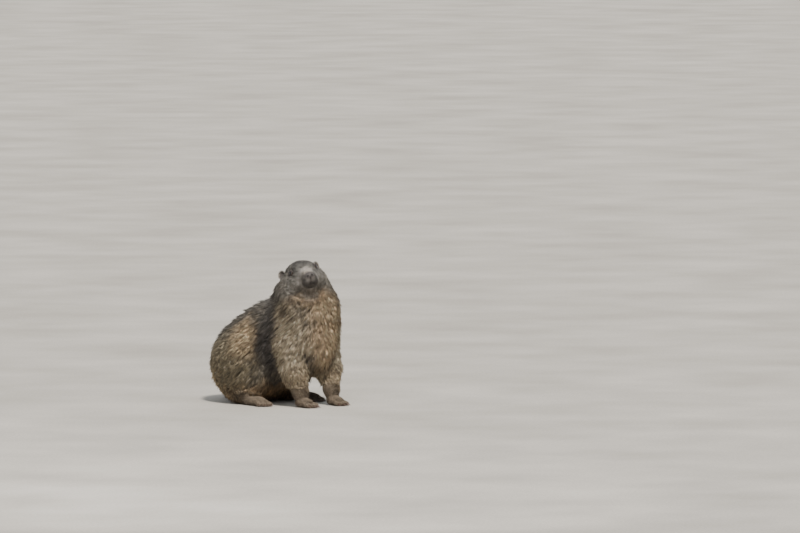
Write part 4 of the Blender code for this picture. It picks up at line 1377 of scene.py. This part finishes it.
draw = np.random.default_rng(FUR_SEED)
roots, places, normals, on_ear = sown(root_sheet, draw)
roots[~on_ear] = landed(skin_shape, roots[~on_ear], skin_depth(roots[~on_ear]), 2)
nose, lids, cup = bareness(roots)[:3]
behind_mouth = in_frame(HEAD, roots)[:, 0] < 0.012
covered = (nose < 0.5) & (lids < 0.5) & (roots[:, 2] > 0.003)
covered &= (face_relief(roots) < 0.0006) | behind_mouth
covered &= (cup < 0.5) | (draw.random(len(roots)) < EAR_CUP_SHARE)
roots, places, normals, on_ear = (rows[covered] for rows in (roots, places, normals, on_ear))
bpy.data.objects.remove(root_sheet)
print("tufts:", len(roots))

# %% [markdown]
# The lie of the coat is a field of directions: back from the nose over the head, down the neck
# and chest, back and down the flanks, out along the tail and forward over the toes.

# %% The lie of the coat
NOSE_TIP = np.array((0.056, 0, -0.010))


def lie_of_coat(points, normals, zone):
    turn = np.array(HEAD)[:3, :3]
    body = np.tile(np.array(BODY_LIE), (len(points), 1))
    body[:, 0] += 3.0 * (points[:, 0] - BODY_AT.x)
    head = unit(in_frame(HEAD, points) - NOSE_TIP) + np.array(HEAD_LIE)
    head = unit(head) @ turn.T
    nearest = np.argmin([mass.distance(points) for mass in tail_masses], axis=0)
    along = np.array([(mass.b - mass.a).normalized() for mass in tail_masses])
    lie = body + (np.array(LEG_LIE) - body) * zone["legs"][:, None]
    lie = lie + (along[nearest] - lie) * zone["tail"][:, None]
    lie = lie + (head - lie) * zone["head"][:, None]
    lie = lie + (np.array(FOOT_LIE) - lie) * zone["feet"][:, None]
    flat = lie - (lie * normals).sum(1)[:, None] * normals
    return unit(flat)


def swerved(lie, normals, angle):
    """The directions turned about the normals, one angle a row."""
    across = np.cross(normals, lie)
    return lie * np.cos(angle)[:, None] + across * np.sin(angle)[:, None]


normals[~on_ear] = unit(slope_of(skin_shape, roots[~on_ear]))
zone = zones(roots)
length = mixed(zone, *FUR_LENGTH)
cheek = zone["head"] * (1 - soft_step(in_frame(HEAD, roots)[:, 0], -0.030, 0.008))
length = length + CHEEK_EXTRA * cheek
from_ear = from_ears(roots)
from_eye = from_eyes(roots)
length = length * (BY_EAR + GAIN_FROM_EAR * soft_step(from_ear, *EAR_FADE))
length = length * (BY_EYE + GAIN_FROM_EYE * soft_step(from_eye, *EYE_FADE))
length = np.where(on_ear, EAR_FUR_LENGTH, length)
bent = (length > BENT_FROM) & (from_ear > 0.006)
print("bent tufts:", int(bent.sum()), "short ones:", int((~bent).sum()))


# %% Gather long hair into clumps
def clumped(chosen, spacing):
    """For each chosen root, the root at the centre of the clump that it belongs to."""
    order = draw.permutation(len(chosen))
    cells = np.floor(roots[chosen][order] / spacing).astype(np.int64)
    first = np.unique(cells, axis=0, return_index=True)[1]
    centres = chosen[order[first]]
    tree = KDTree(len(centres))
    for centre in centres:
        tree.insert(roots[centre], int(centre))
    tree.balance()
    return np.array([tree.find(root)[1] for root in roots[chosen]])


def drawn(low, high, group=slice(None)):
    """A number drawn for each root, or one that all roots of a group share."""
    return draw.uniform(low, high, len(roots))[group]


def veer(degrees, group=slice(None)):
    """An angle drawn for each root, or one that all roots of a group share."""
    return draw.normal(0, math.radians(degrees), len(roots))[group]


long_ones = np.nonzero(bent)[0]
clump = np.arange(len(roots))
clump[long_ones] = clumped(long_ones, CLUMP_SPACING)
tress = np.arange(len(roots))
tress[long_ones] = clumped(long_ones, TRESS_SPACING)
tress = tress[clump]
turn = veer(TRESS_VEER, tress)
proud = drawn(*TRESS_PROUD, tress)
turn = turn + veer(CLUMP_VEER, clump)
clump_length = drawn(*CLUMP_LENGTH, clump)
clump_pull = drawn(*CLUMP_PULL, clump) * (1 - 0.7 * zone["head"])
proud = proud + drawn(*CLUMP_PROUD, clump)
clump_shade = drawn(*CLUMP_SHADE, clump)
turn = turn + veer(CLUMP_VEER)
length = length * clump_length * drawn(*TUFT_LENGTH)
print("clumps:", len(np.unique(clump[long_ones])))

# %% [markdown]
# A long tuft is laid in two steps. Each one moves along the lie and is then drawn back to a
# level below or above the outline, so the hair hugs the body however round it is. Short hair
# is too short to need that; it is simply tilted back from upright.


# %% Lay the tufts
def laid(starts, lie, step, level):
    """The starts moved along the lie, then drawn to a level; positive levels stand proud."""
    moved = starts + lie * step[:, None]
    moved = landed(outline, moved, -level, 2)
    moved[:, 2] = np.maximum(moved[:, 2], LAID_CLEAR)
    return moved


def raised(rise, reach):
    """The roots moved this far, at an angle above the lie of the coat."""
    way = lie * np.cos(rise)[:, None] + normals * np.sin(rise)[:, None]
    return roots + way * reach[:, None]


lie = lie_of_coat(roots, normals, zone)
for side, matrix in EAR_FRAMES.items():
    mine = on_ear & (((roots - np.array(HEAD.translation)) @ np.array(HEAD)[:3, 1]) * side > 0)
    up_ear = np.array(matrix)[:3, 2] - 0.25 * np.array(matrix)[:3, 0]
    flat = up_ear - (normals[mine] @ up_ear)[:, None] * normals[mine]
    lie[mine] = unit(flat)
lie = swerved(lie, normals, turn)
rise = np.radians(drawn(*TUFT_RISE)) * np.where(on_ear, 0.5, 1.0)
middle = raised(rise, length * 0.5)
tip = raised(rise * 0.8, length)
depth = under_coat(roots, zone)
proud = (proud + drawn(*TUFT_PROUD)) * (1 - 0.6 * zone["head"])
first = laid(roots[bent], lie[bent], length[bent] * FIRST_STEP, FIRST_LEVEL * depth[bent])
onward = lie_of_coat(first, unit(first - roots[bent]), zones(first))
onward = unit(onward + 1.2 * unit(first - roots[bent]))
last = laid(first, onward, length[bent] * SECOND_STEP, proud[bent])
middle[bent], tip[bent] = first, last
offset = roots - roots[clump]
pull = np.where(bent, clump_pull, 0.0)[:, None]
tip = tip + pull * (tip[clump] + 0.22 * offset - tip)
middle = middle + 0.40 * pull * (middle[clump] + 0.6 * offset - middle)
tip[:, 2] = np.maximum(tip[:, 2], HAIR_CLEAR)
middle[:, 2] = np.maximum(middle[:, 2], HAIR_CLEAR)
print("coat reaches", tip.min(0), tip.max(0))


# %% Colours of the tufts
def banded(deep, tips, shade, kind):
    """(root, middle, tip) colours; kind draws plain, pale-ended and dark-ended hairs."""
    root = 0.55 * deep * shade[:, None]
    mid = (deep * 0.62 + tips * 0.26) * shade[:, None]
    end = tips * shade[:, None]
    pale, dark = kind < PALE_BELOW, kind > DARK_ABOVE
    end[pale] = end[pale] * 1.55 + 0.06
    end[dark] = end[dark] * 0.26
    mid[dark] = mid[dark] * 1.10
    return root, mid, end


ragged = draw.normal(0, 0.16, len(roots))
strayed = roots + swerved(lie, normals, ragged * 9) * (ragged * 0.030)[:, None]
deep, tips = markings(strayed, zones(strayed))
shade = clump_shade * drawn(*TUFT_SHADE)
# Small groups of the head's short hairs are darker or paler together, least on the muzzle
short_head = np.nonzero(~bent & (zone["head"] > 0.2))[0]
mottle = drawn(*MOTTLE_SHADE)
fade = 1 - 0.6 * zone["muzzle"][short_head]
shade[short_head] *= 1 + (mottle[clumped(short_head, MOTTLE_SPACING)] - 1) * fade
shade[on_ear] *= EAR_SHADE
root_colour, middle_colour, tip_colour = banded(deep, tips, shade, draw.random(len(roots)))
width = mixed(zone, *FUR_WIDTH) * drawn(*TUFT_WIDTH)
print("tip colours:", tip_colour.min(), tip_colour.max())

# %% [markdown]
# The coat is cut into regions, each one object of its own, so that no piece grows too heavy
# and a painter can reach each part of the body. A bent tuft has a triangle at its root, one at
# its bend and a single point at its tip; a short tuft has no bend.

# %% Which region a tuft belongs to
across, behind, height = (roots - np.array(BODY_AT)).T
on_head = in_frame(HEAD, roots)
in_head = zone["head"] > 0.5
left_of_head, left_of_body = on_head[:, 1] > 0, across > 0
# Name, slot, where it lies, and which of it is left where the region has two sides. A tuft
# belongs to the first region whose test it passes.
REGIONS = (
    ("coat_feet", "coat_straw", zone["feet"] > 0.5, None),
    ("coat_face", "coat_grey", in_head & (on_head[:, 0] > -0.006), left_of_head),
    ("coat_crown", "coat_grey", in_head, left_of_head),
    ("coat_tail", "coat_rust", zone["tail"] > 0.5, None),
    ("coat_foreleg", "coat_straw", zone["legs"] > 0.5, left_of_body),
    ("coat_belly", "coat_rust", height < 0.035, None),
    ("coat_throat", "coat_straw", (height > 0.190) & (behind < -0.085), None),
    ("coat_nape", "coat_dark", height > 0.190, None),
    ("coat_chest", "coat_rust", (behind < -0.100) & (np.abs(across) < 0.045), None),
    ("coat_shoulder", "coat_straw", behind < -0.060, left_of_body),
    ("coat_flank", "coat_dark", behind < 0.012, left_of_body),
    ("coat_haunch", "coat_rust", behind < 0.085, left_of_body),
    ("coat_rump", "coat_rust", np.ones(len(roots), bool), None),
)


def sides_of(name, test, left):
    """(name, test) of each piece of a region."""
    if left is None:
        return [(name, test)]
    return [(name + "_left", test & left), (name + "_right", test)]


print("regions:", len(REGIONS))


# %% Build the tufts of a region
PATCH = 0.0015
RING = ((0.55, 0.0), (-0.25, 0.5), (-0.25, -0.5))


def cross_section(centre, along, normal, width, share):
    """Three points round each centre, flattened against the body."""
    across = unit(np.cross(along, normal))
    up = np.cross(across, along)
    return [
        centre + (up * (high * share) + across * (wide * share)) * width[:, None]
        for high, wide in RING
    ]


def tuft_faces(count, rings):
    """Triangles of closed spikes with this many rings and one tip point each."""
    pattern = [(2, 1, 0)]
    for ring in range(rings - 1):
        for i in range(3):
            a, b = ring * 3 + i, ring * 3 + (i + 1) % 3
            pattern += [(a, b, b + 3), (a, b + 3, a + 3)]
    for i in range(3):
        pattern.append(((rings - 1) * 3 + i, (rings - 1) * 3 + (i + 1) % 3, rings * 3))
    size = rings * 3 + 1
    return (np.array(pattern)[None] + size * np.arange(count)[:, None, None]).reshape(-1, 3)


def tufts(chosen, is_bent):
    """(points, colours, places on the unwrap, triangles) of the chosen tufts."""
    a, m, t = roots[chosen], middle[chosen], tip[chosen]
    n, w = normals[chosen], width[chosen]
    start = m - a if is_bent else t - a
    levels = [(a - n * 0.0004, unit(start), 1.0, root_colour[chosen], -PATCH)]
    if is_bent:
        levels.append((m, unit(t - a), 0.82, middle_colour[chosen], 0.0))
    points, colours, flat = [], [], []
    for centre, along, share, colour, height in levels:
        for ring, (high, wide) in zip(cross_section(centre, along, n, w, share), RING):
            points.append(ring)
            colours.append(colour)
            flat.append(places[chosen] + np.array((wide * 2 * PATCH, height)))
    points.append(t)
    colours.append(tip_colour[chosen])
    flat.append(places[chosen] + np.array((0, PATCH)))
    size = len(points)
    rows = [
        np.stack(part, 1).reshape(len(chosen) * size, part[0].shape[1])
        for part in (points, colours, flat)
    ]
    return (*rows, tuft_faces(len(chosen), len(levels)))


def coat_piece(name, chosen):
    """One object of all the chosen tufts."""
    parts = [tufts(chosen[bent[chosen]], True), tufts(chosen[~bent[chosen]], False)]
    shift = np.cumsum([0] + [len(part[0]) for part in parts])
    points, colours, flat = (np.concatenate([part[i] for part in parts]) for i in range(3))
    faces = np.concatenate([part[3] + shift[i] for i, part in enumerate(parts)])
    points[:, 2] = np.maximum(points[:, 2], MESH_CLEAR)
    mesh = bpy.data.meshes.new(name)
    mesh.vertices.add(len(points))
    mesh.vertices.foreach_set("co", points.astype(np.float32).ravel())
    mesh.loops.add(faces.size)
    mesh.loops.foreach_set("vertex_index", faces.astype(np.int32).ravel())
    mesh.polygons.add(len(faces))
    mesh.polygons.foreach_set("loop_start", np.arange(0, faces.size, 3, dtype=np.int32))
    mesh.update(calc_edges=True)
    mesh.uv_layers.new(name="OFBake")
    mesh.uv_layers["OFBake"].data.foreach_set("uv", flat[faces.ravel()].astype(np.float32).ravel())
    add_colours(mesh, colours)
    mesh.shade_smooth()
    return in_scene(name, mesh), len(faces)


unused = np.ones(len(roots), bool)
total = 0
for region, slot_name, where, left in REGIONS:
    for name, test in sides_of(region, where, left):
        chosen = np.nonzero(test & unused)[0]
        unused[chosen] = False
        if len(chosen):
            piece, count = coat_piece(name, chosen)
            finished(piece, hair, slot_name)
            total += count
            print(name, len(chosen), "tufts,", count, "triangles")
print("coat:", total, "triangles")

# %% [markdown]
# ## Floor, light and camera
#
# The marmot sits in soft daylight on a plain stone-coloured floor, which belongs to the scene
# and not to the model. A long lens, far back, keeps its proportions as the photograph does.

# %% Floor
FLOOR_SIZE = 90.0
bpy.ops.object.select_all(action="DESELECT")
bpy.ops.mesh.primitive_plane_add(size=FLOOR_SIZE, location=(0, 0, 0))
floor = bpy.context.object
floor.name = "floor"
ground = Look("ground", {"Roughness": 0.9})
tones = ((0.3, (0.22, 0.205, 0.18)), (0.7, (0.30, 0.28, 0.25)))
grain = ground.noise(160.0)
ground.coloured(ground.ramp(ground.noise(3.0, 8.0), tones), (grain, 0.85, 1.1))
ground.bumped(grain, 0.002, 0.4)
floor.data.materials.append(ground.material)
print("floor:", floor.dimensions)

# %% Light
SKY_COLOUR, SKY_STRENGTH = (0.74, 0.77, 0.80, 1.0), 1.30
SUN_LEAN, SUN_TURN, SUN_SPREAD = math.radians(42), math.radians(-34), math.radians(7)
SUN_COLOUR, SUN_POWER = (1.0, 0.95, 0.88), 9.0
FILL_AT, FILL_SIZE, FILL_POWER = (-2.2, -1.2, 1.2), 1.8, 34
LIT_POINT = Vector((0, 0, 0.15))
sky = bpy.data.worlds.new("sky")
bpy.context.scene.world = sky
sky.use_nodes = True
sky.node_tree.nodes["Background"].inputs["Color"].default_value = SKY_COLOUR
sky.node_tree.nodes["Background"].inputs["Strength"].default_value = SKY_STRENGTH
bpy.ops.object.light_add(type="SUN", rotation=(SUN_LEAN, 0, SUN_TURN))
sun = bpy.context.object
sun.data.energy = SUN_POWER
sun.data.angle = SUN_SPREAD
sun.data.color = SUN_COLOUR
bpy.ops.object.light_add(type="AREA", location=FILL_AT)
fill = bpy.context.object
fill.data.energy = FILL_POWER
fill.data.size = FILL_SIZE
fill.rotation_euler = (LIT_POINT - fill.location).to_track_quat("-Z", "Y").to_euler()
print("lights:", sun.name, fill.name)

# %% [markdown]
# The camera stands in front and to the animal's right, four degrees above it. The photograph
# shows the animal small and left of the middle, so the middle of the picture is aimed at a
# point beside it.

# %% Camera
AZIMUTH, ELEVATION = math.radians(-47), math.radians(4)
LENS, SENSOR = 400.0, 36.0
PIXELS_ACROSS, PIXEL_SIZE = 800, 0.00218
PICTURE_WIDTH = PIXELS_ACROSS * PIXEL_SIZE
PICTURE_MIDDLE = (0.2681, 0.2976)
back = Vector(
    (
        math.sin(AZIMUTH) * math.cos(ELEVATION),
        -math.cos(AZIMUTH) * math.cos(ELEVATION),
        math.sin(ELEVATION),
    )
)
right = Vector((math.cos(AZIMUTH), math.sin(AZIMUTH), 0))
up = back.cross(right)
aim = BODY_AT + right * PICTURE_MIDDLE[0] + up * PICTURE_MIDDLE[1]
bpy.ops.object.camera_add(location=aim + back * (PICTURE_WIDTH * LENS / SENSOR))
camera = bpy.context.object
camera.rotation_euler = back.to_track_quat("Z", "Y").to_euler()
camera.data.lens = LENS
camera.data.sensor_width = SENSOR
camera.data.clip_end = 60.0
bpy.context.scene.camera = camera
print("camera at", tuple(round(v, 3) for v in camera.location))
